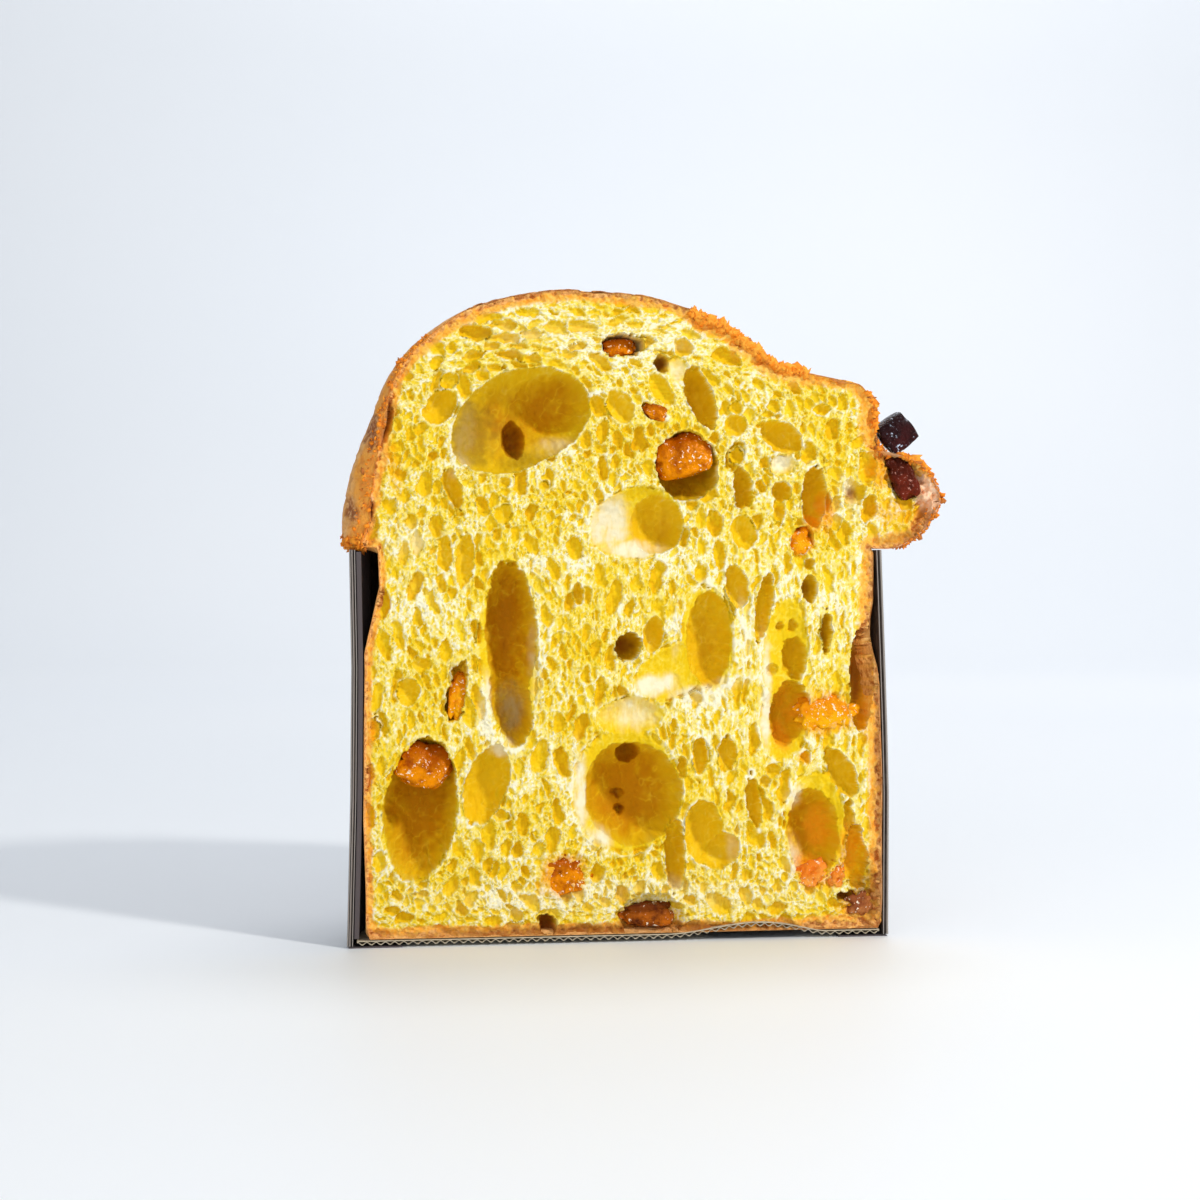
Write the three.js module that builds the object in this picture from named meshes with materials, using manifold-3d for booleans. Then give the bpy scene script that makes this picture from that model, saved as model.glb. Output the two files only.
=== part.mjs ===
// Half of a tall panettone in its paper baking case, cut through the middle and standing on its base.
// Millimetres, +Z up. While it is modelled, the cut face lies in the plane y = 0 and looks along -Y, the
// loaf is behind it, x = 0 is the axis of the round case, and z = 0 is the table. The last lines move the
// whole so that its origin is the middle of its bounding box, at the bottom.
import * as THREE from "three";
import { mergeVertices } from "three/addons/utils/BufferGeometryUtils.js";
import Module from "manifold-3d";

const wasm = await Module();
wasm.setup();

// The paper case, sized as the usual one for a 1 kg loaf: 168 mm wide and 120 mm high.
const CASE_RADIUS = 84.5;
const CASE_HEIGHT = 121;
const WALL_THICKNESS = 1.9;
const CASE_SEGMENTS = 36;
const FLANGE_WIDTH = 17;
const FLANGE_THICKNESS = 0.5;
const OVERLAP_THICKNESS = 1.5;
const OVERLAP_ANGLE = 0.3;
const FOOT_WIDTH = 1.2;
const FOOT_RISE = 1.4;
const WALL_HEIGHTS = [25, 45, 65, 85, 103];

// The corrugated board under the loaf.
const FLUTE_PITCH = 2.8;
const FLUTE_POINTS = 4;
const BOARD_THICKNESS = 1.5;
const BOARD_LINER = 0.5;
const BOARD_LIFT = 3.1;
const LIFT_START = 14;
const LIFT_SPAN = 50;

// Clearances between pieces that touch.
const GAP = 0.3;
const BREAD_GAP = 0.4;
const BOARD_CLEARANCE = 1.2;

// The loaf.
const BREAD_FLOOR = FLANGE_THICKNESS + GAP + BOARD_THICKNESS + GAP;
const AXIS_TOP = 199.7;
const SIDE_ROWS = 9;
const CROWN_ROWS = 28;
const CROWN_BUMP = 0.9;
const SHRINK_ANGLE = 0.55;
const FOOT_CORNER = 1.2;
// Columns of the loaf's surface: close together near the cut, in radians from it, and even between those.
const NEAR_CUT = [0, 0.02, 0.05, 0.09, 0.14, 0.21, 0.3];
const MIDDLE_COLUMNS = 21;

// The outer radius of the case wall at each height, where it is cut on the left and on the right.
const WALL_LEFT = [
  [0, 84.5],
  [45, 83.4],
  [85, 83.0],
  [CASE_HEIGHT, 83.6],
];
const WALL_RIGHT = [
  [0, 84.5],
  [50, 84.6],
  [90, 83.2],
  [CASE_HEIGHT, 82.0],
];

// How far the loaf has shrunk from the paper at each height, at the left cut and at the right cut.
const SHRINK_LEFT = [
  [0, 1.6],
  [14, 1.4],
  [40, 0],
  [90, 0],
  [100, 2.6],
  [110, 5.0],
  [CASE_HEIGHT, 4.6],
];
const SHRINK_RIGHT = [
  [0, 0],
  [82, 0],
  [88, 1.4],
  [96, 3.0],
  [106, 1.0],
  [CASE_HEIGHT, 0.6],
];

// The crown's outline at the cut, from just over the rim of the case up to the axis: distance from the
// axis, height.
const CROWN_LEFT = [
  [80.5, 121.6],
  [85.4, 122.5],
  [87.0, 130],
  [84.0, 141],
  [81.2, 151],
  [75.5, 166],
  [70.0, 177],
  [61.5, 186],
  [50.0, 194],
  [36.0, 198.8],
  [18.0, 201.2],
  [9.0, 199.9],
  [0, AXIS_TOP],
];
const CROWN_RIGHT = [
  [79.5, 121.6],
  [86.0, 121.4],
  [92.0, 123.4],
  [97.8, 127.2],
  [102.4, 131.6],
  [104.2, 136.2],
  [102.6, 141.0],
  [99.0, 145.6],
  [94.4, 149.0],
  [88.4, 151.0],
  [83.6, 152.8],
  [81.6, 157.4],
  [81.0, 162.4],
  [79.8, 167.4],
  [77.4, 171.2],
  [74.4, 173.4],
  [60.0, 176.2],
  [48.0, 179.4],
  [38.0, 187.5],
  [24.0, 194.5],
  [11.0, 198.3],
  [0, AXIS_TOP],
];

// How far the crust rounds in at the cut, by height, on each side, and how far behind the cut that ends.
const ROUNDING_LEFT = [
  [121, 5],
  [130, 8],
  [150, 6.5],
  [168, 4],
  [185, 2],
  [202, 0.8],
];
const ROUNDING_RIGHT = [
  [121, 1],
  [128, 2.4],
  [150, 2.0],
  [165, 1.4],
  [176, 1],
  [202, 0.8],
];
const ROUNDING_DEPTH = 11;

// The large bubbles that the cut has opened: centre across and up, half width, half height, lean of the
// upper end to the left in degrees, depth of the deepest point, and how far the centre lies behind the cut.
const BUBBLES = [
  { x: -32.0, z: 160.6, rx: 22.6, rz: 15.6, lean: 24, deep: 15, back: 0 },
  { x: -23.4, z: 165.0, rx: 13.6, rz: 11.0, lean: 12, deep: 19, back: 3 },
  { x: -32.5, z: 155.0, rx: 3.9, rz: 6.0, lean: 6, deep: 23, back: 8 },
  { x: -56.0, z: 166.0, rx: 4.2, rz: 6.2, lean: -35, deep: 6, back: 1 },
  { x: -51.5, z: 140.5, rx: 2.6, rz: 6.6, lean: 18, deep: 6, back: 1 },
  { x: -0.5, z: 185.0, rx: 6.6, rz: 3.4, lean: 8, deep: 13, back: 3 },
  { x: -1.0, z: 166.5, rx: 4.0, rz: 5.4, lean: 30, deep: 6, back: 1 },
  { x: 12.3, z: 179.5, rx: 2.7, rz: 2.7, lean: 0, deep: 9, back: 3 },
  { x: 19.8, z: 184.2, rx: 3.2, rz: 2.6, lean: 0, deep: 5, back: 1 },
  { x: 24.8, z: 170.0, rx: 4.4, rz: 10.4, lean: 20, deep: 11, back: 2 },
  { x: 20.3, z: 147.0, rx: 9.2, rz: 10.8, lean: 12, deep: 18, back: 3 },
  { x: 36.0, z: 160.3, rx: 4.0, rz: 3.8, lean: 0, deep: 5, back: 1 },
  { x: 50.0, z: 156.0, rx: 7.6, rz: 4.4, lean: -28, deep: 8, back: 1 },
  { x: 38.2, z: 141.0, rx: 3.4, rz: 6.2, lean: 8, deep: 8, back: 1 },
  { x: 49.6, z: 140.5, rx: 3.3, rz: 3.4, lean: 0, deep: 6, back: 1 },
  { x: 51.5, z: 148.0, rx: 4.4, rz: 3.2, lean: 10, deep: 5, back: 1 },
  { x: 60.2, z: 137.0, rx: 4.1, rz: 12.0, lean: -4, deep: 10, back: 2 },
  { x: 4.6, z: 129.3, rx: 13.6, rz: 11.6, lean: 10, deep: 6, back: 0 },
  { x: 10.4, z: 130.0, rx: 8.4, rz: 9.4, lean: 0, deep: 14, back: 2 },
  { x: 38.0, z: 127.0, rx: 4.6, rz: 5.2, lean: 10, deep: 6, back: 1 },
  { x: -55.0, z: 120.0, rx: 2.3, rz: 5.8, lean: 0, deep: 5, back: 1 },
  { x: -48.6, z: 117.0, rx: 2.8, rz: 8.4, lean: -6, deep: 6, back: 1 },
  { x: -35.2, z: 98.0, rx: 7.2, rz: 21.0, lean: 2, deep: 20, back: 4 },
  { x: -33.8, z: 76.0, rx: 5.6, rz: 15.5, lean: 14, deep: 15, back: 3 },
  { x: -50.6, z: 79.0, rx: 3.0, rz: 10.2, lean: -10, deep: 9, back: 2 },
  { x: -65.4, z: 78.8, rx: 4.0, rz: 4.4, lean: -20, deep: 5, back: 1 },
  { x: -61.6, z: 43.0, rx: 10.8, rz: 21.5, lean: -6, deep: 21, back: 4 },
  { x: -42.6, z: 49.6, rx: 5.8, rz: 11.8, lean: -18, deep: 10, back: 2 },
  { x: 1.6, z: 92.4, rx: 3.6, rz: 4.2, lean: 0, deep: 12, back: 4 },
  { x: 9.6, z: 95.0, rx: 3.0, rz: 5.8, lean: -6, deep: 7, back: 1 },
  { x: 25.6, z: 94.0, rx: 8.4, rz: 16.6, lean: 0, deep: 12, back: 1 },
  { x: 19.0, z: 83.0, rx: 14.0, rz: 8.6, lean: 22, deep: 4, back: 0 },
  { x: 36.0, z: 109.6, rx: 3.4, rz: 6.8, lean: 14, deep: 7, back: 1 },
  { x: 44.2, z: 104.6, rx: 2.5, rz: 9.4, lean: -9, deep: 7, back: 1 },
  { x: 58.8, z: 110.0, rx: 2.3, rz: 4.6, lean: 4, deep: 8, back: 2 },
  { x: 64.4, z: 96.0, rx: 1.5, rz: 5.8, lean: 0, deep: 7, back: 2 },
  { x: 53.6, z: 91.0, rx: 5.0, rz: 10.0, lean: 0, deep: 9, back: 1 },
  { x: 51.6, z: 70.0, rx: 6.2, rz: 12.6, lean: -6, deep: 13, back: 2 },
  { x: 75.4, z: 82.0, rx: 3.6, rz: 15.6, lean: 0, deep: 11, back: 2 },
  { x: 24.4, z: 57.5, rx: 2.1, rz: 6.2, lean: 0, deep: 5, back: 1 },
  { x: 31.8, z: 58.4, rx: 2.7, rz: 5.8, lean: 0, deep: 6, back: 1 },
  { x: 2.6, z: 47.4, rx: 15.6, rz: 18.2, lean: 4, deep: 21, back: 3 },
  { x: 1.6, z: 69.4, rx: 9.4, rz: 5.8, lean: 4, deep: 6, back: 1 },
  { x: 15.4, z: 26.0, rx: 3.3, rz: 10.8, lean: 0, deep: 11, back: 2 },
  { x: 25.4, z: 35.6, rx: 5.9, rz: 9.4, lean: 4, deep: 10, back: 2 },
  { x: 32.0, z: 27.0, rx: 5.4, rz: 4.8, lean: 25, deep: 8, back: 1 },
  { x: 41.2, z: 43.4, rx: 2.3, rz: 8.0, lean: 8, deep: 6, back: 1 },
  { x: 60.8, z: 34.0, rx: 8.4, rz: 12.8, lean: 0, deep: 17, back: 4 },
  { x: 64.6, z: 49.8, rx: 7.4, rz: 6.2, lean: 30, deep: 7, back: 1 },
  { x: 69.4, z: 52.4, rx: 3.8, rz: 9.8, lean: 32, deep: 8, back: 1 },
  { x: 74.4, z: 26.0, rx: 3.4, rz: 9.6, lean: 4, deep: 8, back: 1 },
  { x: -73.0, z: 161.0, rx: 2.0, rz: 7.0, lean: -14, deep: 6, back: 2 },
  { x: -79.6, z: 134.5, rx: 2.0, rz: 4.8, lean: 4, deep: 9, back: 5 },
  { x: -22.6, z: 7.6, rx: 2.3, rz: 3.2, lean: 0, deep: 9, back: 3 },
  { x: -24.8, z: 19.6, rx: 2.4, rz: 2.4, lean: 0, deep: 6, back: 1 },
  { x: 72.0, z: 13.4, rx: 3.4, rz: 2.2, lean: 0, deep: 8, back: 2 },
];

// The fruit that shows: centre across, back and up, half sizes across, back and up, lean as above, how far
// its round form is pushed towards a box, and its look.
const FRUIT = {
  candied_orange_left: [-61.3, 6.8, 55.0, 8.8, 6.2, 7.4, -22, 0.25, "orange"],
  candied_orange_centre: [19.8, 6.5, 150.2, 9.6, 6.0, 7.6, 10, 0.25, "orange"],
  candied_orange_top: [0.4, 7.0, 183.2, 5.2, 3.2, 2.9, 8, 0.35, "orange"],
  candied_orange_small: [10.2, 2.2, 163.8, 4.0, 2.6, 2.6, -20, 0.35, "orange"],
  candied_orange_streak: [56.3, 3.4, 123.7, 3.4, 3.0, 4.5, 24, 0.3, "amber"],
  candied_orange_slot: [-50.6, 5.0, 76.4, 2.6, 2.6, 8.0, -8, 0.3, "amber"],
  candied_orange_right: [64.6, 3.2, 70.4, 8.6, 3.4, 5.6, 6, 0.25, "amber"],
  candied_orange_base: [-17.0, 3.7, 22.0, 7.2, 3.9, 6.2, 14, 0.2, "orange"],
  raisin_base: [8.3, 4.1, 8.0, 9.3, 4.2, 4.7, 0, 0.25, "raisin"],
  raisin_crust: [87.2, 3.6, 157.7, 6.0, 4.8, 6.0, 35, 0.6, "burnt"],
  raisin_crust_low: [89.2, 3.4, 143.8, 4.2, 3.8, 8.8, 23, 0.25, "wine"],
  candied_apricot_low: [60.8, 4.2, 19.2, 4.9, 3.8, 3.6, 30, 0.25, "apricot"],
  candied_apricot_mid: [68.4, 3.6, 18.8, 2.7, 3.4, 4.2, 0, 0.25, "apricot"],
  candied_apricot_corner: [76.0, 4.4, 10.5, 4.6, 3.8, 4.0, 30, 0.25, "plum"],
};

// Fruit with a half size over this gets more faces.
const LARGE_FRUIT = 6.5;

const MATERIALS = {
  bread: new THREE.MeshStandardMaterial({ color: 0xe9c544, roughness: 0.85, metalness: 0 }),
  orange: new THREE.MeshStandardMaterial({ color: 0xc9560c, roughness: 0.25, metalness: 0 }),
  amber: new THREE.MeshStandardMaterial({ color: 0xf08a10, roughness: 0.25, metalness: 0 }),
  apricot: new THREE.MeshStandardMaterial({ color: 0xe08a52, roughness: 0.5, metalness: 0 }),
  plum: new THREE.MeshStandardMaterial({ color: 0x8a5038, roughness: 0.5, metalness: 0 }),
  raisin: new THREE.MeshStandardMaterial({ color: 0x7a2c08, roughness: 0.25, metalness: 0 }),
  wine: new THREE.MeshStandardMaterial({ color: 0x5a1410, roughness: 0.2, metalness: 0 }),
  burnt: new THREE.MeshStandardMaterial({ color: 0x2a0f10, roughness: 0.2, metalness: 0 }),
  paper: new THREE.MeshStandardMaterial({ color: 0x2b1f1e, roughness: 0.7, metalness: 0 }),
  board: new THREE.MeshStandardMaterial({ color: 0xb9a98a, roughness: 0.9, metalness: 0 }),
};

// The value at t of a list of [key, value] pairs, in straight lines between them.
function along(pairs, t) {
  if (t <= pairs[0][0]) return pairs[0][1];
  for (let i = 1; i < pairs.length; i++) {
    const [t0, v0] = pairs[i - 1];
    const [t1, v1] = pairs[i];
    if (t <= t1) return v0 + ((v1 - v0) * (t - t0)) / (t1 - t0);
  }
  return pairs[pairs.length - 1][1];
}

// 0 at the cut on the right, 1 at the cut on the left, smooth in between. Angle 0 is +X and pi is -X.
function leftShare(angle) {
  return (1 - Math.cos(angle)) / 2;
}

function blendSides(right, left, angle) {
  const share = leftShare(angle);
  return right * (1 - share) + left * share;
}

// Gentle swelling of a surface, the same on every run.
function swell(a, b, c) {
  return (
    Math.sin(1.7 * a + 0.9 * b + 1.3) * 0.5 +
    Math.sin(2.9 * b - 1.1 * c + 0.4) * 0.3 +
    Math.sin(4.3 * c + 2.3 * a + 2.1) * 0.2
  );
}

// A closed three.js geometry as a solid.
function solidOf(geometry) {
  const bare = geometry.clone();
  bare.deleteAttribute("normal");
  bare.deleteAttribute("uv");
  const merged = mergeVertices(bare, 1e-4);
  return new wasm.Manifold(
    new wasm.Mesh({
      numProp: 3,
      vertProperties: new Float32Array(merged.attributes.position.array),
      triVerts: new Uint32Array(merged.index.array),
    }),
  );
}

// A solid as a three.js geometry with flat faces.
function geometryOf(solid) {
  const mesh = solid.getMesh();
  const geometry = new THREE.BufferGeometry();
  geometry.setAttribute("position", new THREE.BufferAttribute(mesh.vertProperties, 3));
  geometry.setIndex(new THREE.BufferAttribute(mesh.triVerts, 1));
  return geometry;
}

// A closed surface from a grid of points: every row is a closed ring of the same length, and the two ends
// are flat polygons, each filled by the triangles given.
function ringSolid(rings, endFaces) {
  const count = rings[0].length;
  const positions = rings.flat(2);
  const index = [];
  for (let r = 0; r + 1 < rings.length; r++) {
    for (let k = 0; k < count; k++) {
      const a = r * count + k;
      const b = r * count + ((k + 1) % count);
      index.push(a, b + count, b, a, a + count, b + count);
    }
  }
  const last = (rings.length - 1) * count;
  for (const [a, b, c] of endFaces) {
    index.push(a, b, c);
    index.push(last + a, last + c, last + b);
  }
  const geometry = new THREE.BufferGeometry();
  geometry.setAttribute("position", new THREE.BufferAttribute(new Float32Array(positions), 3));
  geometry.setIndex(index);
  return geometry;
}

function wallOuter(angle, z) {
  return blendSides(along(WALL_RIGHT, z), along(WALL_LEFT, z), angle);
}

// A half ring: a section polygon, given for each angle, carried round from the right cut to the left one.
function halfRing(sectionAt, from, to, steps) {
  const rings = [];
  for (let i = 0; i <= steps; i++) {
    const angle = from + ((to - from) * i) / steps;
    rings.push(
      sectionAt(angle).map(([r, z]) => [r * Math.cos(angle), r * Math.sin(angle), z]),
    );
  }
  const section = sectionAt(from).map(([r, z]) => new THREE.Vector2(r, z));
  return ringSolid(rings, THREE.ShapeUtils.triangulateShape(section, []));
}

// The case wall with the flange that is folded in under the board.
function caseWall() {
  const heights = [4, ...WALL_HEIGHTS, CASE_HEIGHT];
  const section = (angle) => {
    const outer = [
      [CASE_RADIUS - FLANGE_WIDTH, 0],
      [CASE_RADIUS - FOOT_WIDTH, 0],
      [CASE_RADIUS, FOOT_RISE],
    ];
    const inner = [];
    for (const z of heights) {
      outer.push([wallOuter(angle, z), z]);
      inner.unshift([wallOuter(angle, z) - WALL_THICKNESS, z]);
    }
    inner.push([CASE_RADIUS - WALL_THICKNESS, FLANGE_THICKNESS + 0.6]);
    inner.push([CASE_RADIUS - WALL_THICKNESS - 0.8, FLANGE_THICKNESS]);
    inner.push([CASE_RADIUS - FLANGE_WIDTH, FLANGE_THICKNESS]);
    return [...outer, ...inner];
  };
  return halfRing(section, 0, Math.PI, CASE_SEGMENTS);
}

// The inner ply where the paper strip overlaps itself, behind the left cut.
function caseOverlap() {
  const lowest = FLANGE_THICKNESS + BOARD_THICKNESS + 3 * GAP;
  const heights = [lowest, ...WALL_HEIGHTS, CASE_HEIGHT - 2 * GAP];
  const section = (angle) => {
    const face = (z) => wallOuter(angle, z) - WALL_THICKNESS - GAP;
    return [
      ...heights.map((z) => [face(z), z]),
      ...[...heights].reverse().map((z) => [face(z) - OVERLAP_THICKNESS, z]),
    ];
  };
  return halfRing(section, Math.PI - OVERLAP_ANGLE, Math.PI, 6);
}

// The board lies flat on the flange and has bowed up under the right side of the loaf.
function boardLift(x) {
  const t = THREE.MathUtils.clamp((x - LIFT_START) / LIFT_SPAN, 0, 1);
  return BOARD_LIFT * Math.sin(Math.PI * Math.pow(t, 1.25)) ** 1.4;
}

// The board under the loaf: a flat liner with round flutes below it, all running front to back.
function caseBoard() {
  const reach = CASE_RADIUS - WALL_THICKNESS - BOARD_CLEARANCE;
  const lowest = FLANGE_THICKNESS + GAP;
  const flutes = Math.floor((2 * reach) / FLUTE_PITCH);
  const flute = BOARD_THICKNESS - BOARD_LINER;
  const outline = new THREE.Shape();
  outline.moveTo(-reach, lowest + BOARD_THICKNESS);
  for (let i = 0; i <= flutes * FLUTE_POINTS; i++) {
    const x = -reach + (2 * reach * i) / (flutes * FLUTE_POINTS);
    const dip = Math.abs(Math.sin((Math.PI * i) / FLUTE_POINTS)) * flute;
    outline.lineTo(x, lowest + boardLift(x) + flute - dip);
  }
  for (let i = flutes; i >= 1; i--) {
    const x = -reach + (2 * reach * i) / flutes;
    outline.lineTo(x, lowest + boardLift(x) + BOARD_THICKNESS);
  }
  const slab = new THREE.ExtrudeGeometry(outline, { depth: reach + 2, bevelEnabled: false, steps: 1 });
  slab.rotateX(Math.PI / 2);
  slab.translate(0, reach + 2, 0);
  const disc = new THREE.CylinderGeometry(reach, reach, 40, 2 * CASE_SEGMENTS);
  disc.rotateX(Math.PI / 2);
  const front = new THREE.BoxGeometry(4 * reach, 2 * reach, 80);
  front.translate(0, -reach, 0);
  return geometryOf(solidOf(slab).intersect(solidOf(disc)).subtract(solidOf(front)));
}

// What the bowed board takes from the underside of the loaf.
function boardBow() {
  const from = LIFT_START - 2;
  const to = LIFT_START + LIFT_SPAN + 2;
  const below = BREAD_FLOOR - 4;
  const outline = new THREE.Shape();
  outline.moveTo(from, below);
  for (let x = from; x < to; x += 6) outline.lineTo(x, BREAD_FLOOR + boardLift(x) + GAP / 2);
  outline.lineTo(to, BREAD_FLOOR);
  outline.lineTo(to, below);
  const bow = new THREE.ExtrudeGeometry(outline, { depth: 2 * CASE_RADIUS, bevelEnabled: false, steps: 1 });
  bow.rotateX(Math.PI / 2);
  bow.translate(0, 1.5 * CASE_RADIUS, 0);
  return solidOf(bow);
}

// One side's outline of the crown as a curve with the rows spread along it.
function crownRows(points) {
  const curve = new THREE.CatmullRomCurve3(
    points.map(([r, z]) => new THREE.Vector3(r, z, 0)),
    false,
    "centripetal",
  );
  return curve.getSpacedPoints(CROWN_ROWS).map((p) => [Math.max(p.x, 0), p.y]);
}

// How much the cut edge is drawn in at a point of the crust, y behind the cut.
function rounding(angle, z, y) {
  const most = angle < Math.PI / 2 ? along(ROUNDING_RIGHT, z) : along(ROUNDING_LEFT, z);
  const t = THREE.MathUtils.clamp(1 - y / ROUNDING_DEPTH, 0, 1);
  return most * t * t;
}

// The loaf before its bubbles: side, crown, flat underside and flat cut face.
function loaf() {
  const left = crownRows(CROWN_LEFT);
  const right = crownRows(CROWN_RIGHT);
  const from = NEAR_CUT.at(-1);
  const between = (Math.PI - 2 * from) / (MIDDLE_COLUMNS + 1);
  const middle = Array.from({ length: MIDDLE_COLUMNS }, (_, i) => from + between * (i + 1));
  const angles = [...NEAR_CUT, ...middle, ...NEAR_CUT.map((a) => Math.PI - a).reverse()];
  const overlapEnd = Math.PI - OVERLAP_ANGLE;
  const rows = [];
  for (let i = 0; i <= SIDE_ROWS; i++) {
    const z = BREAD_FLOOR + ((CASE_HEIGHT - 1 - BREAD_FLOOR) * i) / SIDE_ROWS;
    rows.push(
      angles.map((angle) => {
        const nearLeft = Math.exp(-(((Math.PI - angle) / SHRINK_ANGLE) ** 2));
        const nearRight = Math.exp(-((angle / SHRINK_ANGLE) ** 2));
        const shrink = along(SHRINK_LEFT, z) * nearLeft + along(SHRINK_RIGHT, z) * nearRight;
        const onOverlap = THREE.MathUtils.smoothstep(angle, overlapEnd - 0.14, overlapEnd - 0.02);
        const ply = (OVERLAP_THICKNESS + GAP) * onOverlap;
        const corner = i === 0 ? FOOT_CORNER : 0;
        return [wallOuter(angle, z) - WALL_THICKNESS - BREAD_GAP - ply - shrink - corner, z];
      }),
    );
  }
  for (let i = 0; i <= CROWN_ROWS; i++) {
    rows.push(
      angles.map((angle) => {
        const r = blendSides(right[i][0], left[i][0], angle);
        let z = blendSides(right[i][1], left[i][1], angle);
        const high = THREE.MathUtils.smoothstep(z, 124, 136);
        const inner = THREE.MathUtils.smoothstep(r, 4, 30);
        const bump = CROWN_BUMP * swell(angle * 4, i * 0.45, r * 0.06) * high * inner;
        const y = r * Math.sin(angle);
        const drawn = rounding(angle, z, y);
        const upright = THREE.MathUtils.clamp((z - 150) / 50, 0, 1);
        z += bump * upright - drawn * upright * inner;
        return [Math.max(r + (bump - drawn) * (1 - upright) * inner, 0), z];
      }),
    );
  }
  return loafGeometry(rows, angles);
}

// Rows of [radius, height] at every angle as one closed geometry, with one point at the top and one below.
function loafGeometry(rows, angles) {
  const columns = angles.length;
  const positions = [];
  rows.slice(0, -1).forEach((row) =>
    row.forEach(([r, z], k) => positions.push(r * Math.cos(angles[k]), r * Math.sin(angles[k]), z)),
  );
  const ringCount = rows.length - 1;
  const top = positions.length / 3;
  positions.push(0, 0, AXIS_TOP);
  const index = [];
  for (let i = 0; i + 1 < ringCount; i++) {
    for (let k = 0; k + 1 < columns; k++) {
      const a = i * columns + k;
      index.push(a, a + 1, a + columns + 1, a, a + columns + 1, a + columns);
    }
    const right = i * columns;
    const leftEnd = right + columns - 1;
    index.push(leftEnd, right, right + columns, leftEnd, right + columns, leftEnd + columns);
  }
  for (let k = 0; k + 1 < columns; k++) {
    const a = (ringCount - 1) * columns + k;
    index.push(a, a + 1, top);
    if (k > 0) index.push(0, k + 1, k);
  }
  index.push((ringCount - 1) * columns + columns - 1, (ringCount - 1) * columns, top);
  const geometry = new THREE.BufferGeometry();
  geometry.setAttribute("position", new THREE.BufferAttribute(new Float32Array(positions), 3));
  geometry.setIndex(index);
  return geometry;
}

// A bubble: an ellipsoid with more sides the larger it is.
function bubbleSolid({ x, z, rx, rz, lean, deep, back }) {
  const size = Math.max(rx, rz);
  const around = Math.round(THREE.MathUtils.clamp(5 + size * 0.42, 6, 14));
  const geometry = new THREE.SphereGeometry(1, around, Math.round(around * 0.6));
  geometry.scale(rx, deep - back, rz);
  geometry.rotateY(-THREE.MathUtils.degToRad(lean));
  geometry.translate(x, back, z);
  return solidOf(geometry);
}

// A piece of fruit: a round form pushed towards a box, with an uneven surface. Grow makes room round it.
function fruitSolid([x, y, z, rx, ry, rz, lean, square], grow) {
  const geometry = new THREE.IcosahedronGeometry(1, Math.max(rx, rz) > LARGE_FRUIT ? 2 : 1);
  const place = geometry.attributes.position;
  const p = new THREE.Vector3();
  for (let i = 0; i < place.count; i++) {
    p.fromBufferAttribute(place, i).normalize();
    const box = p.clone().divideScalar(Math.max(Math.abs(p.x), Math.abs(p.y), Math.abs(p.z)));
    const uneven = 1 + 0.11 * swell(p.x * 2 + x, p.y * 2 + z, p.z * 2);
    p.lerp(box, square).multiplyScalar(uneven / (1 + 0.25 * square));
    place.setXYZ(i, p.x * (rx + grow), p.y * (ry + grow), p.z * (rz + grow));
  }
  geometry.rotateY(-THREE.MathUtils.degToRad(lean));
  geometry.translate(x, y, z);
  return solidOf(geometry);
}

// The loaf with its bubbles opened and room made for the fruit. Loose scraps are dropped.
function bread() {
  let solid = solidOf(loaf()).subtract(boardBow());
  for (const bubble of BUBBLES) solid = solid.subtract(bubbleSolid(bubble));
  for (const fruit of Object.values(FRUIT)) solid = solid.subtract(fruitSolid(fruit, BREAD_GAP));
  const pieces = solid.decompose().sort((a, b) => b.volume() - a.volume());
  return geometryOf(pieces[0]);
}

function named(name, geometry, material) {
  const mesh = new THREE.Mesh(geometry, material);
  mesh.name = name;
  return mesh;
}

const panettone = new THREE.Group();
panettone.add(named("bread", bread(), MATERIALS.bread));
panettone.add(named("case_wall", caseWall(), MATERIALS.paper));
panettone.add(named("case_overlap", caseOverlap(), MATERIALS.paper));
panettone.add(named("case_board", caseBoard(), MATERIALS.board));
for (const [name, fruit] of Object.entries(FRUIT)) {
  panettone.add(named(name, geometryOf(fruitSolid(fruit, 0)), MATERIALS[fruit.at(-1)]));
}

const box = new THREE.Box3().setFromObject(panettone, true);
const middle = box.getCenter(new THREE.Vector3());
panettone.position.set(-middle.x, -middle.y, -box.min.z);

export default panettone;
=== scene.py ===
# Half of a tall panettone in its paper case: the torn crumb of the cut face, the browned crust, the candied
# fruit and the fluted paper. Shapes are worked out in millimetres as one looks at the cut face: x to the
# right of the case's axis, y behind the cut, z up from the foot. place() puts them in the frame, in metres.
import math

import bpy
import numpy as np
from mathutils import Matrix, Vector


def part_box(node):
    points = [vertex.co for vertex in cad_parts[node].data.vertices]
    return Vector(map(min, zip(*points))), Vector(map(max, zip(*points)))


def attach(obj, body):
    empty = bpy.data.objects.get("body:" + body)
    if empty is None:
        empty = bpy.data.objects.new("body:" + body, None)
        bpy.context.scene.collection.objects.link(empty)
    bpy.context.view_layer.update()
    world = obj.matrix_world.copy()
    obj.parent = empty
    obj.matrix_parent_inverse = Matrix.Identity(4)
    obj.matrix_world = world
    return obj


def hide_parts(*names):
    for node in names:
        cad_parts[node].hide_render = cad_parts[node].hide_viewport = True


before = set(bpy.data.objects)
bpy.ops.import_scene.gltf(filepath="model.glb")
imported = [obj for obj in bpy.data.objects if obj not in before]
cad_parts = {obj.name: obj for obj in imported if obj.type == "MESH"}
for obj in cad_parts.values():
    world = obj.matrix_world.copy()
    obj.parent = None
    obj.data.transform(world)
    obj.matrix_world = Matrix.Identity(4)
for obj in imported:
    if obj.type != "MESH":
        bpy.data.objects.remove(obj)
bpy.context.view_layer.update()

WALL_LO, WALL_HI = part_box("case_wall")
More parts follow.
